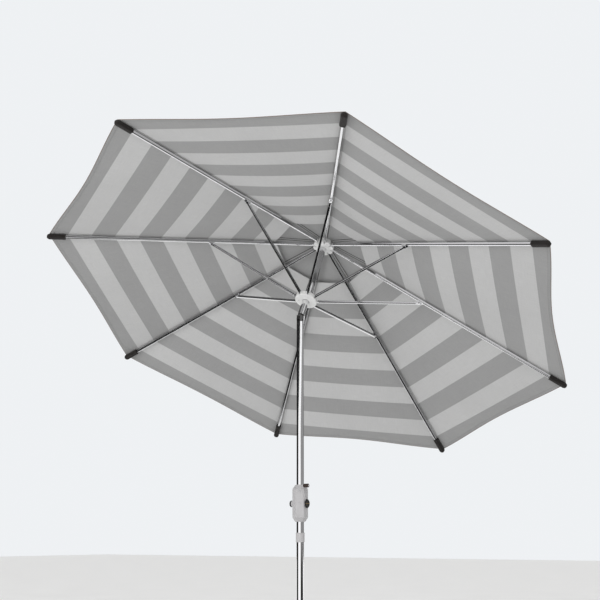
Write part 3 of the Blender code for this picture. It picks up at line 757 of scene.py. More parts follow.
@made_once
def striped_cloth(name, painted_shade_tone=1.0):
    """Canopy cloth: two woven greys in stripes, a turned hem, and sewn rows beside the ribs. Painted shade
    darkens the hem, and a tone below 1 darkens a whole piece, such as a seam.
    """
    sizes = cloth_sizes()
    made, tree, shader = fresh(name)
    place, across, down, from_rib, from_edge = cloth_places(tree)
    weave = use_group(tree, "weave", Vector=place, Pitch=sizes.thread)
    turn = maths(tree, "DIVIDE", minus(tree, down, sizes.edge_stripe), 2 * sizes.stripe)
    phase = maths(tree, "FRACT", plus(tree, turn, 1.0))
    dark_share = ramp(tree, phase, 0.4985, 0.5015, smooth=False)
    back_light = ramp(tree, phase, 0.9985, 1.0, smooth=False)
    is_dark = maths(tree, "SUBTRACT", dark_share, back_light, clamp=True)
    stripe = mixed(tree, is_dark, (*colours().light_stripe, 1.0), (*colours().dark_stripe, 1.0))
    in_hem = ramp(tree, from_edge, sizes.hem + 0.0006, sizes.hem - 0.0006)
    tone = times(tree, weave["Tone"], weave["Slow"])
    # Painted shade: the whole piece takes the given tone, and the turned hem is a little darker still.
    tone = times(tree, tone, ramp(tree, in_hem, 0.0, 1.0, painted_shade_tone, painted_shade_tone * 0.93))
    body = toned(tree, stripe, tone)
    hem_row = use_group(tree, "stitch", Along=across, Off=minus(tree, from_edge, sizes.hem - STITCH_INSET))
    seam_row = use_group(tree, "stitch", Along=down, Off=minus(tree, from_rib, sizes.seam - 0.003))
    rib_row = use_group(tree, "stitch", Along=down, Off=minus(tree, from_rib, STITCH_INSET))
    beside_folds = maths(tree, "MAXIMUM", hem_row["Mask"], seam_row["Mask"])
    thread = maths(tree, "MAXIMUM", beside_folds, rib_row["Mask"])
    sewn = mixed(tree, times(tree, thread, 0.8), body, (0.20, 0.195, 0.19, 1.0))
    # Painted shade: a dark line along the folded edge of each seam, in the crease.
    fold_shade = ramp(tree, maths(tree, "ABSOLUTE", minus(tree, from_rib, sizes.seam)), 0.0016, 0.0004)
    fold_shaded = mixed(tree, times(tree, fold_shade, 0.45), sewn, (0.16, 0.155, 0.15, 1.0))
    edge_band = ramp(tree, from_edge, 0.0034, 0.0022)
    edged = mixed(tree, times(tree, edge_band, 0.75), fold_shaded, (0.16, 0.115, 0.09, 1.0))
    tree.links.new(edged, shader.inputs["Base Color"])
    tree.links.new(ramp(tree, weave["Height"], -1.0, 1.0, 0.93, 0.84), shader.inputs["Roughness"])
    shader.inputs["Specular IOR Level"].default_value = 0.3
    shader.inputs["Sheen Weight"].default_value = 0.18
    shader.inputs["Sheen Roughness"].default_value = 0.5
    pucker = plus(tree, hem_row["Pucker"], seam_row["Pucker"])
    folds = plus(tree, in_hem, ramp(tree, from_rib, sizes.seam + 0.0005, sizes.seam - 0.0005))
    raise_surface(tree, shader, (pucker, 0.0006, 0.4), (folds, 0.0007, 0.6), (thread, 0.0003, 0.5),
                  (weave["Height"], 0.0001, 0.3))
    return made


@made_once
def plain_cloth(name, colour, thread, slub=1.0, edge_shade=0.0):
    """A single-colour woven cloth. Its last value sets a painted shade: a dark band beside the edges, where
    a batten sleeve meets the cap, and a darker rim on the vent cap.
    """
    made, tree, shader = fresh(name)
    place, _, down, _, from_edge = cloth_places(tree)
    weave = use_group(tree, "weave", Vector=place, Pitch=thread, Slub=slub)
    tone = times(tree, weave["Tone"], weave["Slow"])
    body = toned(tree, (*colour, 1.0), tone)
    row = use_group(tree, "stitch", Along=down, Off=minus(tree, from_edge, STITCH_INSET))
    pale = tuple(min(1.0, c * 2.2 + 0.02) for c in colour) + (1.0,)
    sewn = mixed(tree, times(tree, row["Mask"], 0.6), body, pale)
    # Painted shade: a dark band beside the edges, as strong as the last value.
    edge_band = ramp(tree, from_edge, 0.0042, 0.0030)
    edged = mixed(tree, times(tree, edge_band, edge_shade), sewn, (0.02, 0.019, 0.018, 1.0))
    tree.links.new(edged, shader.inputs["Base Color"])
    tree.links.new(ramp(tree, weave["Height"], -1.0, 1.0, 0.92, 0.8), shader.inputs["Roughness"])
    shader.inputs["Specular IOR Level"].default_value = 0.3
    shader.inputs["Sheen Weight"].default_value = 0.15
    shader.inputs["Sheen Roughness"].default_value = 0.5
    raise_surface(tree, shader, (row["Mask"], 0.0003, 0.5), (weave["Height"], thread * 0.2, 0.4))
    return made


@made_once
def braided_cord(name):
    """White lift cord with a diagonal braid, its grooves painted darker as shade."""
    made, tree, shader = fresh(name)
    where = in_metres(tree)
    parts = add(tree, "SeparateXYZ")
    tree.links.new(where, parts.inputs[0])
    turn = maths(tree, "ARCTAN2", parts.outputs[0], minus(tree, parts.outputs[1], 2 * PULLEY_RADIUS))
    rise = times(tree, parts.outputs[2], 2400.0)
    one = maths(tree, "SINE", plus(tree, rise, times(tree, turn, 4.0)))
    other = maths(tree, "SINE", minus(tree, rise, times(tree, turn, 4.0)))
    plait = maths(tree, "MAXIMUM", one, other)
    grubby = noise(tree, where, 60.0, 3.0, 0.6)
    # The braid's grooves are painted darker as shade, and a slow noise adds grime.
    shade = times(tree, ramp(tree, plait, -1.0, 1.0, 0.72, 1.0), ramp(tree, grubby, 0.3, 0.7, 0.9, 1.0))
    tree.links.new(toned(tree, (0.74, 0.73, 0.70, 1.0), shade), shader.inputs["Base Color"])
    tree.links.new(ramp(tree, grubby, 0.3, 0.7, 0.75, 0.9), shader.inputs["Roughness"])
    raise_surface(tree, shader, (plait, 0.0002, 0.6))
    return made


# ---------------------------------------------------------------- poles


def make_poles():
    radius = frame_sizes().pole_radius
    bore = radius - POLE_WALL
    fit = bore - GAP
    black = black_plastic()
    low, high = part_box("lower_pole")[0].z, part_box("lower_pole")[1].z
    profile = [(0, 0), (radius, 0), (radius, low - GAP), (fit, low - GAP), (fit, 0.03), (0, 0.03)]
    mesh = turned(soften(profile, 0.001, closed=False), 96)
    put("foot_plug_moulding", mesh, black, "base_pole", ["foot_plug"])

    profile = soften([(bore, low), (radius, low), (radius, high), (bore, high)], 0.0005, 2)
    tube = turned(profile, 128)
    put("lower_pole_tube", tube, pole_metal(), "base_pole", ["lower_pole"])

    make_collar(radius + GAP)

    low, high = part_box("middle_pole")[0].z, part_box("middle_pole")[1].z
    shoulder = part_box("lower_pole")[1].z + GAP
    inner = fit - POLE_WALL
    profile = [(inner, low), (fit, low), (fit, shoulder), (radius, shoulder)]
    profile += [(radius, high), (bore, high), (bore, shoulder + 0.002), (inner, shoulder)]
    button_hole = shifted(cylinder(0.0065, -0.03, -0.005, "Y", 48), z=PIVOT.z - BUTTON_DROP)
    shaft_hole = shifted(cylinder(0.0055, -0.03, 0.03, "X"), z=CRANK_AT.z)
    mesh = carved(turned(profile, 128), (CUT, shaft_hole), (CUT, button_hole))
    put("middle_pole_tube", mesh, pole_metal(), "mast", ["middle_pole"], sharp=30)

    top = HUB_HEIGHT + 0.012
    middle = HUB_HEIGHT - PULLEY_DROP
    slot = prism(soften([(-0.0042, middle - 0.0165), (0.0042, middle - 0.0165), (0.0042, middle + 0.0155),
                         (-0.0042, middle + 0.0155)], 0.0035, 5), 0, 0.03, "Y")
    profile = [(bore, 0.0182), (radius, 0.0182), (radius, top), (bore, top)]
    mesh = carved(turned(profile, 128), (CUT, slot))
    put("upper_pole_tube", mesh, pole_metal(), "head", ["upper_pole"], HEAD, sharp=30)


def make_collar(bore):
    """The joint collar: a split ring with a shallow band and a pinch of draft."""
    low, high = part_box("pole_collar")
    middle = (low.z + high.z) / 2
    half = (high.z - low.z) / 2
    rim = high.x
    profile = [(bore, -half), (rim - 0.0012, -half), (rim, -half + 0.0016), (rim, -half + 0.0058)]
    profile += [(rim - 0.0005, -half + 0.0064), (rim - 0.0005, half - 0.0064), (rim, half - 0.0058)]
    profile += [(rim, half - 0.0016), (rim - 0.0012, half), (bore, half)]
    mesh = turned(soften(profile, 0.0008, 3), 96)
    at = Matrix.Translation((0, 0, middle))
    put("pole_collar_ring", mesh, housing_plastic(), "base_pole", ["pole_collar"], at)


# ---------------------------------------------------------------- crank


def six_sided(flats, height, corner=0.0035, steps=3):
    """One level of the crank box: a hexagon with a flat facing +X and rounded corners."""
    reach = flats / math.cos(math.radians(30))
    corners = []
    for i in range(6):
        angle = math.radians(30 + 60 * i)
        corners.append((reach * math.cos(angle), reach * math.sin(angle)))
    return [(x, y, height) for x, y in soften(corners, corner, steps)]


def make_crank_box():
    low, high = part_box("crank_housing_front")[0].z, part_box("crank_housing_front")[1].z
    flats = frame_sizes().housing_half
    small = flats * 0.66
    taper = 0.02
    line = [(small, low), (flats, low + taper), (flats, high - taper), (small, high)]
    levels = soften(line, 0.0045, 4, closed=False)
    levels[0:1] = [(small - 0.0015, low), (small, low + 0.0012)]
    levels[-1:] = [(small, high - 0.0012), (small - 0.0015, high)]
    body = loft([six_sided(f, h) for f, h in levels])
    boss_line = [(0, -0.045), (0.0148, -0.045), (0.019, -0.0335), (0.019, -0.031), (0, -0.031)]
    boss = turned(soften(boss_line, 0.0012, 3, closed=False), 64, "X")
    room = flats - HOUSING_WALL
    wall = taper + 0.0025
    hollow = loft([six_sided(room, low + wall, 0.004), six_sided(room, high - wall, 0.004)])
    bore = frame_sizes().pole_radius + GAP
    steps = [
        (JOIN, shifted(boss, z=CRANK_AT.z)),
        (CUT, hollow),
        (CUT, cylinder(bore, low - 0.01, high + 0.01, segments=96)),
        (CUT, shifted(cylinder(0.0046, 0.02, 0.06, "X"), z=CRANK_AT.z)),
        (CUT, shifted(cylinder(0.0078, -0.06, -0.02, "X", 48), z=CRANK_AT.z)),
    ]
    for height in SCREW_HEIGHTS:
        hole = spun(cylinder(0.0018, 0.02, 0.06, "X", 24), SCREW_SIDE)
        steps.append((CUT, shifted(hole, z=height)))
    whole = carved(body, *steps)
    reach = 0.1
    halves = (("front", -reach, -GAP), ("back", GAP, reach))
    for name, near, far in halves:
        side = box((-reach, near, low - reach), (reach, far, high + reach))
        mesh = carved(whole.copy(), (COMMON, side))
        node = "crank_housing_" + name
        put(node + "_shell", mesh, housing_plastic(), "mast", [node], sharp=35)


def make_crank_screws():
    flats = frame_sizes().housing_half
    profile = [(0, 0.0195), (0.0008, 0.0195), (0.0014, 0.021), (0.0014, flats + GAP), (0.0034, flats + GAP)]
    profile += [(0.0032, flats + 0.0009), (0.0024, flats + 0.0014), (0, flats + 0.0015)]
    blade = 0.0005
    for name, height in zip(("lower", "upper"), SCREW_HEIGHTS):
        head = turned(profile, 40, "X")
        top = flats + 0.0009
        cuts = [box((top, -0.0019, -blade), (top + 0.003, 0.0019, blade))]
        cuts.append(box((top, -blade, -0.0019), (top + 0.003, blade, 0.0019)))
        mesh = carved(head, *[(CUT, cut) for cut in cuts])
        at = Matrix.Translation((0, 0, height)) @ Matrix.Rotation(SCREW_SIDE, 4, "Z")
        node = "housing_screw_" + name
        put(node + "_head", mesh, plated_steel(), "mast", [node], at)


def make_crank_handle():
    at = Matrix.Translation(CRANK_AT)
    profile = [(0, -0.053), (0.0035, -0.053), (0.0042, -0.0524), (0.0098, -0.0524), (0.0105, -0.053)]
    profile += [(0.014, -0.053), (0.0155, -0.0515), (0.0155, -0.0453), (0.0045, -0.0453)]
    profile += [(0.0045, -0.0493), (0, -0.0493)]
    mesh = turned(soften(profile, 0.0006, 2, closed=False), 72, "X")
    put("shaft_cap_disc", mesh, black_plastic(), "crank", ["shaft_end_cap"], at)

    reach = CRANK_THROW
    outline = arc(0.0165, 30, 330, 40) + arc(0.008, -90, 90, 20, (reach, 0))
    plate = prism(outline, 0.034, 0.038, "Z", 0.0008)
    near, far, half = 0.02, reach - 0.008, 0.0022
    rib_line = soften([(near, -half), (far, -half), (far, half), (near, half)], 0.0015, 4)
    dent = prism(rib_line, 0.0372, 0.04)
    pin = shifted(cylinder(0.003, 0.037, GRIP_END + 0.002), x=reach)
    cap_low, cap_high = GRIP_END + 0.0007, GRIP_END + 0.003
    cap_line = [(0, cap_low), (0.0046, cap_low), (0.0046, cap_high - 0.0007), (0.003, cap_high)]
    cap = shifted(turned(cap_line + [(0, cap_high)], 40), x=reach)
    steps = [(CUT, dent), (JOIN, pin), (JOIN, cap), (CUT, cylinder(0.0043, 0.03, 0.05))]
    mesh = carved(plate, *steps)
    swapped = Matrix(((0, 0, 1, 0), (0, 1, 0, 0), (1, 0, 0, 0), (0, 0, 0, 1)))
    stand_up = swapped @ Matrix.Scale(-1, 4, (0, 1, 0))
    mesh.transform(Matrix.Rotation(CRANK_ANGLE, 4, "X") @ stand_up)
    mesh.flip_normals()
    put("crank_arm_plate", mesh, housing_plastic(), "crank", ["crank_arm"], at)

    profile = [(0, 0.0425), (0.0188, 0.0425), (0.021, 0.0408), (0.021, 0.0383), (0.0048, 0.0383)]
    profile += [(0.0048, 0.0395), (0, 0.0395)]
    groove = box((0.041, -0.0182, -0.0016), (0.05, 0.0182, 0.0016))
    mesh = carved(turned(soften(profile, 0.0009, 3, closed=False), 80, "X"), (CUT, groove))
    put("crank_cap_disc", mesh, black_plastic(), "crank", ["crank_cap"], at, sharp=35)
    mesh = box((0.0413, -0.0179, -0.0012), (0.0429, 0.0179, 0.0012), 0.0003)
    put("crank_cross_bar", mesh, dull_brass(), "crank", ["crank_cross_pin"], at)

    profile = [(0.0034, GRIP_START), (0.0075, GRIP_START), (0.009, GRIP_START + 0.0024)]
    for i in range(4):
        along = GRIP_START + 0.0045 + i * 0.0042
        profile += [(0.0091, along), (0.0083, along + 0.0006)]
        profile += [(0.0083, along + 0.0014), (0.0091, along + 0.002)]
    profile += [(0.0095, GRIP_END - 0.003), (0.008, GRIP_END), (0.0034, GRIP_END)]
    mesh = turned(soften(profile, 0.0006, 2), 64, "X")
    side = Matrix.Translation((0, GRIP_AT.y, GRIP_AT.z))
    put("crank_grip_knob", mesh, grip_plastic(), "grip", ["crank_grip"], side)


# ---------------------------------------------------------------- tilt joint


def make_tilt_joint():
    radius = frame_sizes().pole_radius
    fit = radius - POLE_WALL - GAP
    black = joint_plastic()
    dome = 0.0172
    profile = [(0, -0.08), (fit, -0.08), (fit, -0.0185), (radius, -0.0185)]
    profile += [(radius, dome + 0.001), (0, dome + 0.001)]
    side = 0.019
    outline = [(-side, -0.09), (side, -0.09), (side, 0)] + arc(dome, 0, 180, 40) + [(-side, 0)]
    button_hole = shifted(cylinder(0.0063, -0.03, -0.005, "Y", 48), z=-BUTTON_DROP)
    steps = [
        (COMMON, prism(outline, -0.03, 0.03, "X")),
        (CUT, box((-SLOT_WIDTH, -0.03, -0.018), (SLOT_WIDTH, 0.03, 0.03))),
        (CUT, cylinder(0.0035, -0.1, 0)),
        (CUT, cylinder(0.0043, -0.03, 0.03, "X")),
        (CUT, button_hole),
    ]
    mesh = rounded(carved(turned(profile, 96), *steps), 0.0006, 50)
    at = Matrix.Translation(PIVOT)
    put("tilt_fork_cheeks", mesh, black, "mast", ["tilt_fork"], at, sharp=35)

    lift = math.degrees(math.acos(0.0135 / 0.0165))
    plate_half = SLOT_WIDTH - GAP
    outline = arc(0.0165, lift, -180 - lift, 48) + [(-0.0135, 0.025), (0.0135, 0.025)]
    plug = cylinder(fit, 0.0182, 0.075, segments=96)
    steps = [
        (JOIN, prism(outline, -plate_half, plate_half, "X")),
        (CUT, cylinder(0.0035, -0.002, 0.1)),
        (CUT, box((-0.0035, -0.0035, -0.03), (0.0035, 0.0125, 0.001))),
        (CUT, cylinder(0.0043, -0.03, 0.03, "X")),
    ]
    mesh = carved(plug, *steps)
    put("tilt_tongue_plate", mesh, black, "head", ["tilt_tongue"], HEAD, sharp=35)

    far = radius + GAP
    profile = [(0, 0.0052), (0.004, 0.0052), (0.004, far), (0.0062, far), (0.0062, far + 0.0006)]
    profile += [(0.0048, radius + 0.002), (0.0026, radius + 0.002), (0.0022, radius + 0.0015)]
    profile += [(0, radius + 0.0015)]
    for name, turn in (("right", 0), ("left", math.pi)):
        mesh = turned(soften(profile, 0.0004, 2, closed=False), 48, "X")
        at = Matrix.Translation(PIVOT) @ Matrix.Rotation(turn, 4, "Z")
        put("tilt_rivet_" + name, mesh, plated_steel(), "mast", ["tilt_pin_" + name], at)

    face = -radius - 0.0035
    profile = [(0, -0.0105), (0.006, -0.0105), (0.006, face + 0.001), (0.005, face)]
    profile += [(0.0028, face + 0.0003), (0, face + 0.0005)]
    mesh = turned(soften(profile, 0.0007, 3, closed=False), 56, "Y")
    at = Matrix.Translation(PIVOT - Vector((0, 0, BUTTON_DROP)))
    put("tilt_button_cap", mesh, black, "button", ["tilt_button"], at)

    turns, steps = 3, 24
    start, end = -0.0096, -0.0058
    coil = []
    for i in range(turns * steps + 1):
        angle = 2 * math.pi * i / steps
        along = start + (end - start) * i / (turns * steps)
        coil.append((0.0045 * math.sin(angle), along, 0.0045 * math.cos(angle)))
    mesh = tube_along(coil, 0.0005, 8, beside=(0, 1, 0))
    coil = put("button_spring_coil", mesh, plated_steel(), "mast", ["button_spring"], at)
    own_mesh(coil)


# ---------------------------------------------------------------- runner and crown


def slot_cut(inner, low, high):
    half = SLOT_WIDTH / 2
    return box((inner, -half, low), (0.09, half, high))


def pivot_wire(radius):
    half = SLOT_WIDTH / 2 + 0.002
    return shifted(cylinder(PIN_RADIUS, -half, half, "Y", 20), x=radius)


def make_runner():
    bore = frame_sizes().pole_radius + 0.0006
    rim = frame_sizes().runner_radius
    low = -0.014
    profile = [(bore, low), (0.0235, low), (0.0245, low + 0.0008), (rim - 0.003, low + 0.0003)]
    profile += [(rim, low + 0.003), (rim, 0.009), (rim - 0.003, 0.012), (0.027, 0.012)]
    profile += [(0.024, 0.015), (0.0235, 0.036), (0.0225, 0.038), (bore, 0.038)]
    steps = [
        (CUT, ring_of(lambda: slot_cut(0.0345, -0.0088, 0.05))),
        (JOIN, ring_of(lambda: pivot_wire(STRUT_PIVOT_RADIUS))),
    ]
    mesh = carved(turned(soften(profile, 0.0016, 4), 128), *steps)
    at = HEAD @ Matrix.Translation((0, 0, RUNNER_HEIGHT))
    put("runner_ring", mesh, white_plastic(), "runner", ["runner"], at, sharp=38)
    line = [(0, low - 0.0004), (0.0012, low - 0.0004), (0.0014, low - 0.0011), (0.0024, low - 0.0011)]
    line += [(0.0031, low - 0.0006), (0.0031, low + 0.0014), (0, low + 0.0014)]
    mesh = turned(soften(line, 0.0003, 2, closed=False), 40)
    spot = Matrix.Rotation(math.radians(-150), 4, "Z") @ Matrix.Translation((0.036, 0, 0))
    put("runner_set_screw", mesh, plated_steel(), "runner", at=at @ spot)


def lobe(angle, radius):
    """The crown's rim pulls in at each rib's slot, which leaves eight round lobes."""
    swing = math.cos(RIB_COUNT * (angle - RIB_START))
    reach = max(0.0, min(1.0, (radius - 0.036) / 0.014))
    return 1 - 0.085 * reach * (0.5 + 0.5 * swing) ** 1.5


def make_crown():
    bore = frame_sizes().pole_radius + GAP
    rim = frame_sizes().hub_radius
    low = -0.02
    profile = [(bore, low), (0.03, low), (0.034, low + 0.006), (rim - 0.002, low + 0.006)]
    profile += [(rim, low + 0.008), (rim, 0.014), (rim - 0.006, 0.02), (0.004, 0.02)]
    profile += [(0.004, 0.0135), (bore, 0.0135)]
    steps = [
        (CUT, ring_of(lambda: slot_cut(0.0375, -0.03, 0.03))),
        (JOIN, ring_of(lambda: pivot_wire(RIB_PIVOT_RADIUS))),
    ]
    mesh = carved(turned(soften(profile, 0.002, 4), 160, waver=lobe), *steps)
    at = HEAD @ Matrix.Translation((0, 0, HUB_HEIGHT))
    put("crown_rosette", mesh, white_plastic(), "head", ["crown_hub"], at, sharp=38)

    low = 0.0232
    profile = [(0, low), (0.045, low), (0.046, low + 0.002), (0.04, low + 0.008), (0.018, low + 0.013)]
    profile += [(0.0145, low + 0.016), (0, low + 0.016)]
    mesh = turned(soften(profile, 0.0015, 4, closed=False), 96)
    put("crown_cap_disc", mesh, white_plastic(), "head", ["crown_cap"], at)

    low = 0.0395
    profile = [(0, low), (0.0125, low), (0.0118, low + 0.003), (0.0095, low + 0.0045)]
    profile += [(0.011, low + 0.006), (0.0085, low + 0.011)]
    profile += arc(0.0155, -50, 68, 24, (0, low + 0.024))
    profile += [(0.0035, low + 0.0415), (0, low + 0.0425)]
    mesh = turned(soften(profile, 0.0008, 3, closed=False), 72)
    put("finial_knob", mesh, housing_plastic(), "head", ["finial"], at)


def make_lift():
    """The cord, in the part inside the pole and the part that runs down outside to the runner."""
    spool_side = 0.008 + CORD_RADIUS + GAP
    route = [(0, spool_side, CRANK_AT.z), (0, 0.004, 1.4), (0, 0, PIVOT.z - 0.012), (0, 0, PIVOT.z - 0.004)]
    mesh = tube_along(route, CORD_RADIUS)
    put("lift_cord_in_mast", mesh, braided_cord(), "mast", ["lift_cord_lower"])
    wheel = HUB_HEIGHT - PULLEY_DROP
    rise = [(0, 0, 0.004), (0, 0, 0.2)]
    rise += [(0, y, z) for y, z in arc(PULLEY_RADIUS, 180, 0, 24, (PULLEY_RADIUS, wheel))]
    mesh = tube_along(rise, CORD_RADIUS, 12)
    put("lift_cord_in_head", mesh, braided_cord(), "head", ["lift_cord_upper"], HEAD)
    top = Vector((0, 2 * PULLEY_RADIUS, wheel - 0.0003))
    end = Vector((0, 2 * PULLEY_RADIUS, RUNNER_HEIGHT + 0.0385))
    steps = 24
    fall = [top.lerp(end, i / steps) for i in range(steps + 1)]
    mesh = tube_along(fall, CORD_RADIUS, 12)
    cord = put("lift_cord_fall", mesh, braided_cord(), None, at=HEAD)
    cord.modifiers.clear()
    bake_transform(cord)


# ---------------------------------------------------------------- ribs and struts


def rib_turn(number):
    return RIB_START + 2 * HALF_PANEL * (number - 1)


def folding_frame(kind, number, slope):
    """The own axes of a rib or a strut: X runs along it from its pivot."""
    pivot = Vector(JOINTS[f"{kind}_{number}_fold"]["pos_m"])
    spin = HEAD.to_3x3().to_4x4() @ Matrix.Rotation(rib_turn(number), 4, "Z")
    return Matrix.Translation(pivot) @ spin @ Matrix.Rotation(slope, 4, "Y")


def strut_span():
    """Length and rise of a strut between its two pivots."""
    slope = Matrix.Rotation(-RIB_SLOPE, 2)
    reach = slope @ Vector((STRUT_REACH, -STRUT_DROP))
    across = RIB_PIVOT_RADIUS + reach.x - STRUT_PIVOT_RADIUS
    rise = HUB_HEIGHT + reach.y - RUNNER_HEIGHT
    return math.hypot(across, rise), math.atan2(rise, across)


def bar(width, height, start, end, corner):
    half, side = height / 2, width / 2
    outline = soften([(-side, -half), (side, -half), (side, half), (-side, half)], corner, 4)
    rings = []
    for x in [start + (end - start) * i / 8 for i in range(9)]:
        rings.append([(x, y, z) for y, z in outline])
    return loft(rings)


def rivet(x, z, out, radius=0.0036, thick=0.0014):
    """A domed rivet head on the side of a bracket, facing along Y."""
    line = [(0, 0), (radius, 0), (radius * 0.94, thick * 0.45), (radius * 0.6, thick * 0.9), (0, thick)]
    mesh = turned(soften(line, 0.0003, 2, closed=False), 32, "Y")
    if out < 0:
        mesh.transform(Matrix.Scale(-1, 4, (0, 1, 0)))
        mesh.flip_normals()
    return shifted(mesh, x, out * 0.0081, z)


def rib_mesh():
    sizes = frame_sizes()
    half = sizes.rib_height / 2
    body = bar(sizes.rib_width, sizes.rib_height, 0.02, sizes.rib_length, 0.0038)
    tongue_line = arc(0.007, 90, 270, 20) + [(0.024, -0.007), (0.024, 0.007)]
    tongue = prism(tongue_line, -TONGUE_WIDTH / 2, TONGUE_WIDTH / 2, "Y")
    eye = cylinder(PIN_RADIUS + 0.0006, -0.02, 0.02, "Y")
    ear = 0.012
    ears = [(STRUT_REACH - ear - 0.006, -half + 0.001), (STRUT_REACH - ear, -STRUT_DROP)]
    ears += arc(0.006, 180, 360, 20, (STRUT_REACH, -STRUT_DROP))
    ears += [(STRUT_REACH + ear, -STRUT_DROP), (STRUT_REACH + ear + 0.006, -half + 0.001)]
    bracket = prism(ears, -0.008, 0.008, "Y", 0.0007)
    slot_half = SLOT_WIDTH / 2
    slot = box((STRUT_REACH - 0.03, -slot_half, -0.04), (STRUT_REACH + 0.03, slot_half, -half - 0.0004))
    pin = shifted(cylinder(PIN_RADIUS, -0.007, 0.007, "Y"), x=STRUT_REACH, z=-STRUT_DROP)
    return carved(body, (JOIN, tongue), (CUT, eye), (JOIN, bracket), (CUT, slot), (JOIN, pin))


def strut_mesh(span):
    sizes = frame_sizes()
    inset = 0.021
    body = bar(sizes.strut_width, sizes.strut_height, inset, span - inset, 0.0032)
    low_end = arc(0.006, 90, 270, 20) + [(inset + 0.003, -0.006), (inset + 0.003, 0.006)]
    back = span - inset - 0.003
    high_end = arc(0.006, -90, 90, 20, (span, 0)) + [(back, 0.006), (back, -0.006)]
    thick = TONGUE_WIDTH / 2
    steps = [
        (JOIN, prism(low_end, -thick, thick, "Y")),
        (JOIN, prism(high_end, -thick, thick, "Y")),
        (CUT, cylinder(PIN_RADIUS + 0.0006, -0.02, 0.02, "Y")),
        (CUT, shifted(cylinder(PIN_RADIUS + 0.0013, -0.02, 0.02, "Y"), x=span)),
    ]
    return carved(body, *steps)


def make_ribs():
    mesh = rib_mesh()
    heads = gathered([rivet(STRUT_REACH, -STRUT_DROP, side) for side in (-1, 1)])
    for number in range(1, RIB_COUNT + 1):
        at = folding_frame("rib", number, RIB_SLOPE)
        body = f"rib_{number}"
        put(body + "_bar", mesh.copy(), rib_metal(), body, [body], at, sharp=35)
        put(body + "_rivets", heads.copy(), plated_steel(), body, at=at)


def make_struts():
    span, rise = strut_span()
    mesh = strut_mesh(span)
    for number in range(1, RIB_COUNT + 1):
        body = f"strut_{number}"
        at = folding_frame("strut", number, -rise)
        put(body + "_bar", mesh.copy(), rib_metal(), body, [body], at, sharp=35)


# ---------------------------------------------------------------- cloth


def write_cloth(mesh, places, hems):
    """Store the cloth's own coordinates on each vertex."""
    own = mesh.attributes.new("cloth", "FLOAT_VECTOR", "POINT")
    own.data.foreach_set("vector", [c for place in places for c in place])
    hem = mesh.attributes.new("hem", "FLOAT", "POINT")
    hem.data.foreach_set("value", hems)


class Panel:
    """Half of one flat panel beside a rib, in axes turned so that the rib runs along X."""

    def __init__(self, side, dip):
        self.side = side
        self.dip = dip
        self.end = Vector((math.cos(2 * HALF_PANEL), side * math.sin(2 * HALF_PANEL)))
        self.middle = Vector((math.cos(HALF_PANEL), side * math.sin(HALF_PANEL)))
        tip = math.sin(PANEL_SLOPE)
        self.normal = Vector((self.middle.x * tip, self.middle.y * tip, math.cos(PANEL_SLOPE)))

    def point(self, radius, across, lift):
        """A point of the cloth and its own coordinates. across runs from 0 at the rib to 0.5."""
        sizes = cloth_sizes()
        run = (radius - sizes.vent_radius) / (sizes.canopy_radius - sizes.vent_radius)
        bow = 4 * across * (1 - across)
        inset = 1 - self.dip * run ** 2.5 * math.sin(math.pi * across) ** 2 / radius
        flat = Vector((1, 0)).lerp(self.end, across) * radius * inset
        reach = flat.dot(self.middle) / math.cos(HALF_PANEL)
        crest = HUB_HEIGHT + CANOPY_CLEARANCE / math.cos(RIB_SLOPE)
        height = crest - (reach - RIB_PIVOT_RADIUS) * math.tan(RIB_SLOPE)
        hang = sizes.sag * bow * (0.25 + 0.75 * math.sin(math.pi * min(1, run * 0.9 + 0.05)))
        spot = Vector((flat.x, flat.y, height)) + self.normal * (lift - hang)
        beside = abs(flat.x * self.middle.y - flat.y * self.middle.x)
        down = (sizes.canopy_radius - reach) * CLOTH_RUN
        slant = math.atan(math.sin(HALF_PANEL) / CLOTH_RUN)
        from_rib = (reach * math.sin(HALF_PANEL) - beside) * math.cos(slant)
        from_edge = (sizes.canopy_radius - radius) * CLOTH_RUN
        return spot, (self.side * beside, down, from_rib), from_edge


def cloth_rows():
    """Corner radii from the vent to the rim, closer together at the hem."""
    sizes = cloth_sizes()
    span = sizes.canopy_radius - sizes.vent_radius
    count = 60
    rows = [sizes.vent_radius + span * i / count for i in range(count)]
    rows = [r for r in rows if r < sizes.canopy_radius - 0.03]
    return rows + [sizes.canopy_radius - back for back in (0.024, 0.0205, 0.0195, 0.010, 0.004, 0.0015, 0.0)]


def sheet_mesh(grids):
    """A closed mesh from two equal grids of (point, place, hem), lower and upper."""
    rows = len(grids[0])
    columns = len(grids[0][0])
    total = rows * columns
    faces = []
    for r in range(rows - 1):
        for c in range(columns - 1):
            a = r * columns + c
            b = total + a
            faces.append((a, a + 1, a + columns + 1, a + columns))
            faces.append((b, b + columns, b + columns + 1, b + 1))
    for r in (0, rows - 1):
        for c in range(columns - 1):
            a = r * columns + c
            faces.append((a, total + a, total + a + 1, a + 1))
    for c in (0, columns - 1):
        for r in range(rows - 1):
            a = r * columns + c
            faces.append((a, a + columns, total + a + columns, total + a))
    spots, places, hems = zip(*[item for grid in grids for row in grid for item in row])
    mesh = mesh_from(spots, faces, "cloth")
    write_cloth(mesh, places, hems)
    return mesh


def gore_mesh(number):
    """The cloth from the middle of one panel to the middle of the next, centred on a rib."""
    sides = {1: Panel(1, EDGE_DIPS[number - 1]), -1: Panel(-1, EDGE_DIPS[number - 2])}
    half = 12
    grids = []
    for upper in (0, 1):
        grid = []
        for radius in cloth_rows():
            row = []
            folded = 1.0 if cloth_sizes().canopy_radius - radius > 0.02 else 1.9
            lift = 0.001 + (0.0006 if upper else -0.0006) * folded
            for column in range(-half, half + 1):
                side = sides[1 if column >= 0 else -1]
                row.append(side.point(radius, abs(column) / half / 2, lift))
            grid.append(row)
        grids.append(grid)
    return sheet_mesh(grids)


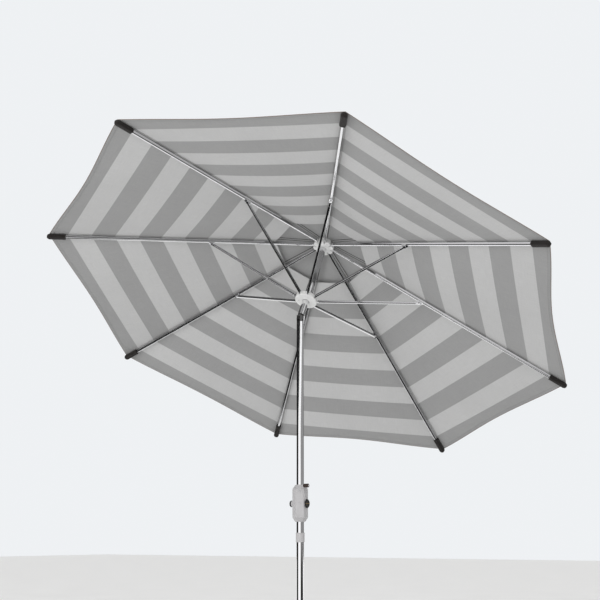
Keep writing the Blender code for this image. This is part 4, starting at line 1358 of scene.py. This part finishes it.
def seam_mesh():
    """The folded seam on the underside, which follows both panels for a short way."""
    sizes = cloth_sizes()
    sides = {1: Panel(1, 0.0), -1: Panel(-1, 0.0)}
    slant = math.atan(math.sin(HALF_PANEL) / CLOTH_RUN)
    grids = []
    for upper in (0, 1):
        grid = []
        for radius in cloth_rows()[:-3]:
            width = 2 * radius * math.sin(HALF_PANEL) * math.cos(slant)
            row = []
            for offset in (-1, -0.94, -0.5, -0.1, 0, 0.1, 0.5, 0.94, 1):
                away = abs(offset) * sizes.seam / width
                panel = sides[1 if offset >= 0 else -1]
                thin = 0.35 if abs(offset) > 0.95 else 1.0
                lift = 0.0002 if upper else 0.0002 - 0.0012 * thin
                row.append(panel.point(radius, away, lift))
            grid.append(row)
        grids.append(grid)
    return sheet_mesh(grids)


def make_canopy():
    cloth = striped_cloth()
    # The seams use the canopy cloth, darkened all over as painted shade.
    shaded_seam_cloth = striped_cloth("seam_cloth_shaded", 0.90)
    for number in range(1, RIB_COUNT + 1):
        at = HEAD @ Matrix.Rotation(rib_turn(number), 4, "Z")
        body = f"rib_{number}"
        stands_for = ["canopy"] if number == 1 else ()
        mesh = gore_mesh(number)
        gore = put(f"canopy_gore_{number}", mesh, cloth, body, stands_for, at, sharp=60)
        gore.visible_glossy = False
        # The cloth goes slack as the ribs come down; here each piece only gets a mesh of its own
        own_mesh(gore)
        seam = put(f"canopy_seam_{number}", seam_mesh(), shaded_seam_cloth, body, at=at, sharp=50)


def cap_point(radius, panel, across, lift):
    """A point of the vent cap: flat over the crown, then sloping to eight corners."""
    sizes = cloth_sizes()
    flat_radius = frame_sizes().hub_radius + 0.001
    first = RIB_START + 2 * HALF_PANEL * panel
    start = Vector((math.cos(first), math.sin(first)))
    end = Vector((math.cos(first + 2 * HALF_PANEL), math.sin(first + 2 * HALF_PANEL)))
    run = max(0.0, (radius - flat_radius) / (sizes.cap_radius - flat_radius))
    bow = 4 * across * (1 - across)
    inset = 1 - 0.008 * run * bow / radius
    flat = start.lerp(end, across) * radius * inset
    slope = math.tan(CAP_SLOPE)
    height = HUB_HEIGHT + CAP_RISE - max(0.0, radius * inset - flat_radius) * slope
    middle = (start + end).normalized()
    hang = 0.004 * bow * math.sin(math.pi * min(1, run))
    spot = Vector((flat.x, flat.y, height + lift - hang))
    beside = flat.x * middle.y - flat.y * middle.x
    down = (sizes.cap_radius - radius) * 0.96
    from_rib = radius * math.sin(HALF_PANEL) - abs(beside)
    return spot, (beside, down, from_rib), down


def make_vent_cap():
    sizes = cloth_sizes()
    flat_radius = frame_sizes().hub_radius + 0.001
    rows = [0.012, 0.03, 0.045, flat_radius - 0.002, flat_radius, flat_radius + 0.004]
    rows += [flat_radius + 0.004 + (sizes.cap_radius - 0.016 - flat_radius) * i / 12 for i in range(1, 12)]
    rows += [sizes.cap_radius - back for back in (0.012, 0.0105, 0.004, 0.0012, 0.0)]
    columns = 10
    verts, places, hems = [], [], []
    for upper in (0, 1):
        for radius in rows:
            for panel in range(RIB_COUNT):
                for column in range(columns):
                    lift = 0.0016 if upper else 0.0004
                    spot, place, hem = cap_point(radius, panel, column / columns, lift)
                    verts.append(spot)
                    places.append(place)
                    hems.append(hem)
    around = RIB_COUNT * columns
    total = around * len(rows)
    faces = []
    for r in range(len(rows)):
        for c in range(around):
            d = (c + 1) % around
            a, b = r * around + c, r * around + d
            if r < len(rows) - 1:
                faces.append((a, b, b + around, a + around))
                faces.append((total + a, total + a + around, total + b + around, total + b))
            if r in (0, len(rows) - 1):
                faces.append((a, total + a, total + b, b))
    mesh = mesh_from(verts, faces)
    write_cloth(mesh, places, hems)
    cloth = plain_cloth("vent_cloth", colours().vent_cloth, sizes.thread, 1.0, 0.7)
    cap = put("vent_cap_cloth", mesh, cloth, "head", ["vent_cap"], HEAD, sharp=60)
    for number in range(1, RIB_COUNT + 1):
        at = HEAD @ Matrix.Rotation(rib_turn(number), 4, "Z")
        look = plain_cloth("batten_cloth", colours().vent_cloth, sizes.thread, 1.0, 1.0)
        mesh = batten_mesh()
        put(f"vent_batten_{number}", mesh, look, "head", at=at, sharp=50)


def batten_mesh():
    """The sewn sleeve under one corner line of the vent cap, with the batten's swell in it."""
    sizes = cloth_sizes()
    start = frame_sizes().hub_radius + 0.004
    end = sizes.cap_radius - 0.012
    half = 0.009
    grids = []
    for upper in (0, 1):
        grid = []
        for i in range(21):
            radius = start + (end - start) * i / 20
            row = []
            for step in range(-6, 7):
                off = step / 6
                away = abs(off) * half / (2 * radius * math.sin(HALF_PANEL))
                panel = 0 if off >= 0 else RIB_COUNT - 1
                spot, place, _ = cap_point(radius, panel, away if off >= 0 else 1 - away, 0.0002)
                spot = Matrix.Rotation(-RIB_START, 3, "Z") @ spot
                swell = 0.0008 + 0.0022 * max(0.0, math.cos(off * 2.2)) if not upper else 0.0
                spot.z -= swell
                row.append((spot, (off * half, place[1], half), (1 - abs(off)) * half))
            grid.append(row)
        grids.append(grid)
    return sheet_mesh(grids)


def pocket_mesh():
    """A sewn pouch on the end of a rib, open at its mouth, in the rib's own axes."""
    start, middle, reach = 1.3, 1.38, 0.015
    top, bottom = 0.0102, -0.0125
    sides = 40
    rings, places, hems = [], [], []

    def ring(x, wide, high, low, power, hem):
        points = []
        for i in range(sides):
            angle = 2 * math.pi * i / sides
            c, s = math.cos(angle), math.sin(angle)
            y = wide * math.copysign(abs(c) ** (2 / power), c)
            z = (high if s > 0 else -low) * math.copysign(abs(s) ** (2 / power), s)
            points.append((x, y, z))
            places.append((y * 1.3 if s > 0 else -y * 1.3, x, 0.02))
            hems.append(hem)
        rings.append(points)

    for x in (1.352, 1.34, start + 0.001):
        ring(x, 0.0086, 0.0094, -0.0094, 5.0, 0.02)
    ring(start - 0.0002, 0.0104, 0.0098, -0.0106, 4.6, 0.0)
    length_out = middle - start
    for i in range(15):
        share_along = i / 14
        wide = reach - 0.0006 * math.sin(math.pi * share_along) - (0.0012 if i == 0 else 0)
        ring(start + length_out * share_along, wide, top, bottom, 3.4, length_out * share_along)
    for i in range(1, 9):
        angle = math.pi / 2 * i / 9
        scale = math.cos(angle)
        ring(middle + reach * math.sin(angle), reach * scale, top * (0.35 + 0.65 * scale),
             bottom * (0.35 + 0.65 * scale), 3.0, 0.02)
    mesh = loft(rings)
    write_cloth(mesh, places, hems)
    return mesh


def make_pockets():
    look = plain_cloth("pocket_cloth", colours().pocket_cloth, 0.0011, 2.2)
    for number in range(1, RIB_COUNT + 1):
        node = f"tip_pocket_{number}"
        at = folding_frame("rib", number, RIB_SLOPE)
        put(node + "_pouch", pocket_mesh(), look, f"rib_{number}", [node], at, sharp=50)


def finish_small_parts():
    """Give the small parts that keep their own shape a finish with grain or drawn lines."""
    steel, black, white = plated_steel(), black_plastic(), white_plastic()
    looks = {
        "brake_drum": steel,
        "crank_shaft": steel,
        "brake_spring": steel,
        "pulley_pin": steel,
        "shaft_bush": black,
        "cord_spool": white,
        "pulley": white,
    }
    for name, look in looks.items():
        for slot in frame["nodes"][name].material_slots:
            slot.material = look


# ---------------------------------------------------------------- stage


def studio_axes(tree, vector):
    """A vector in the studio's axes: across, back, up, ahead, and degrees to the side of its front."""
    turn = add(tree, "VectorRotate", rotation_type="Z_AXIS")
    tree.links.new(vector, turn.inputs["Vector"])
    turn.inputs["Angle"].default_value = -STUDIO_TURN
    parts = add(tree, "SeparateXYZ")
    tree.links.new(turn.outputs[0], parts.inputs[0])
    across, back, up = parts.outputs
    ahead = times(tree, back, -1.0)
    side = times(tree, maths(tree, "ARCTAN2", across, ahead), 180 / math.pi)
    return across, back, up, ahead, side


def make_floor():
    count = 12
    size = 60.0
    bm = bmesh.new()
    bmesh.ops.create_grid(bm, x_segments=count, y_segments=count, size=size / 2)
    mesh = bpy.data.meshes.new("studio_floor")
    bm.to_mesh(mesh)
    bm.free()
    made, tree, shader = fresh("studio_floor")
    where = in_metres(tree)
    soft = noise(tree, where, 1.6, 3.0, 0.5)
    tone = ramp(tree, soft, 0.3, 0.7, 0.995, 1.005)
    tree.links.new(toned(tree, (*colours().floor, 1.0), tone), shader.inputs["Base Color"])
    tree.links.new(ramp(tree, soft, 0.3, 0.7, 0.7, 0.8), shader.inputs["Roughness"])
    # For glossy rays the floor gives off light instead. This is a painted reflection for the metal to
    # mirror: dim near the pole, bright further back, and a bright strip out in front.
    across, back, _, ahead, side = studio_axes(tree, where)
    beside = maths(tree, "MINIMUM", plus(tree, across, 1.2), 0.0)
    reach = plus(tree, back, beside)
    strip = times(tree, band(tree, side, -63.0, 14.0, 6.0), ramp(tree, ahead, 1.5, 2.5))
    painted_reflection = add(tree, "Emission")
    level = maths(tree, "MAXIMUM", ramp(tree, reach, 1.05, 1.35, 0.015, 1.1), times(tree, strip, 1.15))
    tree.links.new(level, painted_reflection.inputs["Strength"])
    painted_reflection.inputs["Color"].default_value = (1.0, 1.0, 1.0, 1.0)
    both = add(tree, "MixShader")
    tree.links.new(add(tree, "LightPath").outputs["Is Glossy Ray"], both.inputs[0])
    tree.links.new(shader.outputs[0], both.inputs[1])
    tree.links.new(painted_reflection.outputs[0], both.inputs[2])
    tree.links.new(both.outputs[0], tree.nodes["Material Output"].inputs[0])
    mesh.materials.append(made)
    floor = bpy.data.objects.new("studio_floor", mesh)
    bpy.context.scene.collection.objects.link(floor)


def band(tree, value, start, end, feather):
    """1 between start and end, in the value's own unit, with soft ends."""
    rise = ramp(tree, value, minus(tree, start, feather), plus(tree, start, feather))
    fall = ramp(tree, value, plus(tree, end, feather), minus(tree, end, feather))
    return times(tree, rise, fall)


def mirrored_studio(tree):
    """What polished metal mirrors: black flags, a tall strip light, and a dimmer card beside it."""
    facing = add(tree, "TexCoord").outputs["Generated"]
    _, _, rise, _, side = studio_axes(tree, facing)
    start = ramp(tree, rise, 0.11, 0.20, -63.0, 2.0, smooth=False)
    end = ramp(tree, rise, 0.11, 0.20, 14.0, 66.0, smooth=False)
    low = ramp(tree, rise, 0.30, 0.22)
    strip = times(tree, band(tree, side, start, end, 6.0), low)
    dim_end = plus(tree, end, 120.0)
    dim_level = ramp(tree, rise, -0.06, 0.02, 0.03, 0.30)
    dim = times(tree, band(tree, side, plus(tree, end, 4.0), dim_end, 4.0), dim_level)
    dim = times(tree, dim, low)
    line = times(tree, band(tree, side, -38.0, -30.0, 3.0), band(tree, rise, 0.13, 0.26, 0.02))
    high = times(tree, ramp(tree, rise, 0.45, 0.8), 0.10)
    neck = times(tree, band(tree, side, 52.0, 72.0, 6.0), band(tree, rise, 0.5, 0.8, 0.05))
    level = maths(tree, "MULTIPLY_ADD", strip, 1.15, 0.012)
    left_card = times(tree, band(tree, side, -124.0, -98.0, 4.0), band(tree, rise, 0.79, 0.9, 0.008))
    right_card = times(tree, band(tree, side, 80.0, 120.0, 5.0), band(tree, rise, 0.385, 0.6, 0.01))
    front_card = times(tree, band(tree, side, 24.0, 50.0, 3.0), band(tree, rise, 0.74, 0.9, 0.01))
    top_card = ramp(tree, rise, 0.866, 0.88)
    cards = ((left_card, 0.6), (right_card, 0.45), (front_card, 0.55), (top_card, 0.35))
    for part, amount in ((dim, 1.0), (line, 0.12), (high, 1.0), (neck, 0.9), *cards):
        level = maths(tree, "MULTIPLY_ADD", part, amount, level)
    shade = add(tree, "CombineColor")
    for socket in shade.inputs[:3]:
        tree.links.new(level, socket)
    return shade.outputs[0]


def make_world():
    """Pale to the camera, and a darker, even studio to everything that it lights."""
    fill = bpy.context.scene.parasol_light.fill
    world = bpy.data.worlds.new("studio")
    bpy.context.scene.world = world
    world.use_nodes = True
    tree = world.node_tree
    tree.nodes.clear()
    out = add(tree, "OutputWorld")
    seen = add(tree, "Background")
    seen.inputs["Color"].default_value = (0.86, 0.88, 0.90, 1)
    seen.inputs["Strength"].default_value = 1.0
    lit = add(tree, "Background")
    lit.inputs["Color"].default_value = (1.0, 1.0, 1.0, 1)
    lit.inputs["Strength"].default_value = fill
    mirrored = add(tree, "Background")
    mirrored.inputs["Strength"].default_value = 1.0
    tree.links.new(mirrored_studio(tree), mirrored.inputs["Color"])
    path = add(tree, "LightPath")
    first = add(tree, "MixShader")
    tree.links.new(path.outputs["Is Glossy Ray"], first.inputs[0])
    tree.links.new(lit.outputs[0], first.inputs[1])
    tree.links.new(mirrored.outputs[0], first.inputs[2])
    second = add(tree, "MixShader")
    tree.links.new(path.outputs["Is Camera Ray"], second.inputs[0])
    tree.links.new(first.outputs[0], second.inputs[1])
    tree.links.new(seen.outputs[0], second.inputs[2])
    tree.links.new(second.outputs[0], out.inputs[0])


def soft_light(name, place, target, size, power):
    data = bpy.data.lights.new(name, "AREA")
    data.shape = "RECTANGLE"
    data.size, data.size_y = size
    data.energy = power
    lamp = bpy.data.objects.new(name, data)
    bpy.context.scene.collection.objects.link(lamp)
    lamp.location = place
    lamp.rotation_euler = (Vector(target) - Vector(place)).to_track_quat("-Z", "Y").to_euler()
    lamp.visible_glossy = False
    return lamp


def make_lights():
    light = bpy.context.scene.parasol_light
    soft_light("key_softbox", (-0.6, -4.6, 2.6), (0, 0, 1.3), (1.6, 3.4), light.key)
    soft_light("side_softbox", (5.2, -0.6, 1.8), (0, 0, 1.3), (0.9, 3.0), light.side)
    soft_light("low_softbox", (1.2, -1.8, 0.05), (0, 0.3, 2.2), (3.0, 3.0), light.low)


def make_camera():
    data = bpy.data.cameras.new("camera")
    data.lens = 60.02
    data.sensor_width = 36
    eye = bpy.data.objects.new("camera", data)
    bpy.context.scene.collection.objects.link(eye)
    up = math.radians(13.29)
    away, beside, height = 4.918, -0.006, 0.7917
    around, swing = STUDIO_TURN, 0.001
    eye.location = (
        away * math.sin(around) + beside * math.cos(around),
        -away * math.cos(around) + beside * math.sin(around),
        height,
    )
    eye.rotation_euler = (math.pi / 2 + up, 0, around - swing)
    bpy.context.scene.camera = eye
    bpy.context.scene.view_settings.view_transform = "Standard"


# ---------------------------------------------------------------- operators


class PARASOL_OT_poles(bpy.types.Operator):
    """Build the foot, the two-section mast, the collar and the upper pole"""

    bl_idname = "parasol.poles"
    bl_label = "Poles"

    def execute(self, context):
        make_poles()
        return {"FINISHED"}


class PARASOL_OT_crank(bpy.types.Operator):
    """Build the crank box, its screws, the arm, the caps and the grip"""

    bl_idname = "parasol.crank"
    bl_label = "Crank"

    def execute(self, context):
        make_crank_box()
        make_crank_screws()
        make_crank_handle()
        return {"FINISHED"}


class PARASOL_OT_tilt(bpy.types.Operator):
    """Build the tilt joint with its rivets and button"""

    bl_idname = "parasol.tilt"
    bl_label = "Tilt Joint"

    def execute(self, context):
        make_tilt_joint()
        return {"FINISHED"}


class PARASOL_OT_runner(bpy.types.Operator):
    """Build the runner, the crown, its cap, the finial and the lift cord"""

    bl_idname = "parasol.runner"
    bl_label = "Runner and Crown"

    def execute(self, context):
        make_runner()
        make_crown()
        make_lift()
        return {"FINISHED"}


class PARASOL_OT_ribs(bpy.types.Operator):
    """Build the ribs with their brackets, and the struts"""

    bl_idname = "parasol.ribs"
    bl_label = "Ribs and Struts"

    def execute(self, context):
        make_ribs()
        make_struts()
        return {"FINISHED"}


class PARASOL_OT_canopy(bpy.types.Operator):
    """Build the striped canopy with its seams, and the tip pockets"""

    bl_idname = "parasol.canopy"
    bl_label = "Canopy"

    def execute(self, context):
        make_canopy()
        make_pockets()
        return {"FINISHED"}


class PARASOL_OT_vent_cap(bpy.types.Operator):
    """Build the vent cap with its battens"""

    bl_idname = "parasol.vent_cap"
    bl_label = "Vent Cap"

    def execute(self, context):
        make_vent_cap()
        return {"FINISHED"}


class PARASOL_OT_small_parts(bpy.types.Operator):
    """Give the inner parts their finishes"""

    bl_idname = "parasol.small_parts"
    bl_label = "Inner Parts"

    def execute(self, context):
        finish_small_parts()
        return {"FINISHED"}


class PARASOL_OT_stage(bpy.types.Operator):
    """Set up the floor, the studio light and the camera"""

    bl_idname = "parasol.stage"
    bl_label = "Stage"

    def execute(self, context):
        make_floor()
        make_world()
        make_lights()
        make_camera()
        return {"FINISHED"}


class PARASOL_PT_panel(bpy.types.Panel):
    """The parasol's settings and the buttons that build it"""

    bl_idname = "PARASOL_PT_panel"
    bl_label = "Parasol"
    bl_space_type = "VIEW_3D"
    bl_region_type = "UI"
    bl_category = "Parasol"

    def draw(self, context):
        column = self.layout.column(align=True)
        for operator in OPERATORS:
            column.operator(operator.bl_idname)
        for title, settings in (
            ("Frame", context.scene.parasol_frame),
            ("Cloth", context.scene.parasol_cloth),
            ("Colours", context.scene.parasol_colours),
            ("Light", context.scene.parasol_light),
        ):
            part = self.layout.box()
            part.label(text=title)
            for key in settings.bl_rna.properties.keys():
                if key not in ("rna_type", "name"):
                    part.prop(settings, key)


OPERATORS = (
    PARASOL_OT_poles,
    PARASOL_OT_crank,
    PARASOL_OT_tilt,
    PARASOL_OT_runner,
    PARASOL_OT_ribs,
    PARASOL_OT_canopy,
    PARASOL_OT_vent_cap,
    PARASOL_OT_small_parts,
    PARASOL_OT_stage,
)
SETTINGS = {
    "parasol_frame": ParasolFrameSizes,
    "parasol_cloth": ParasolClothSizes,
    "parasol_colours": ParasolColours,
    "parasol_light": ParasolLight,
}


def register():
    for made in (*SETTINGS.values(), *OPERATORS, PARASOL_PT_panel):
        bpy.utils.register_class(made)
    for name, group in SETTINGS.items():
        setattr(bpy.types.Scene, name, bpy.props.PointerProperty(type=group))


def unregister():
    for name in SETTINGS:
        delattr(bpy.types.Scene, name)
    for made in reversed((*SETTINGS.values(), *OPERATORS, PARASOL_PT_panel)):
        bpy.utils.unregister_class(made)


def corners(bounds):
    return [[float(value) for value in corner] for corner in bounds]


def main():
    register()
    bpy.ops.parasol.stage()
    bpy.ops.parasol.poles()
    bpy.ops.parasol.crank()
    bpy.ops.parasol.tilt()
    bpy.ops.parasol.runner()
    bpy.ops.parasol.ribs()
    bpy.ops.parasol.canopy()
    bpy.ops.parasol.vent_cap()
    bpy.ops.parasol.small_parts()


if __name__ == "__main__":
    main()
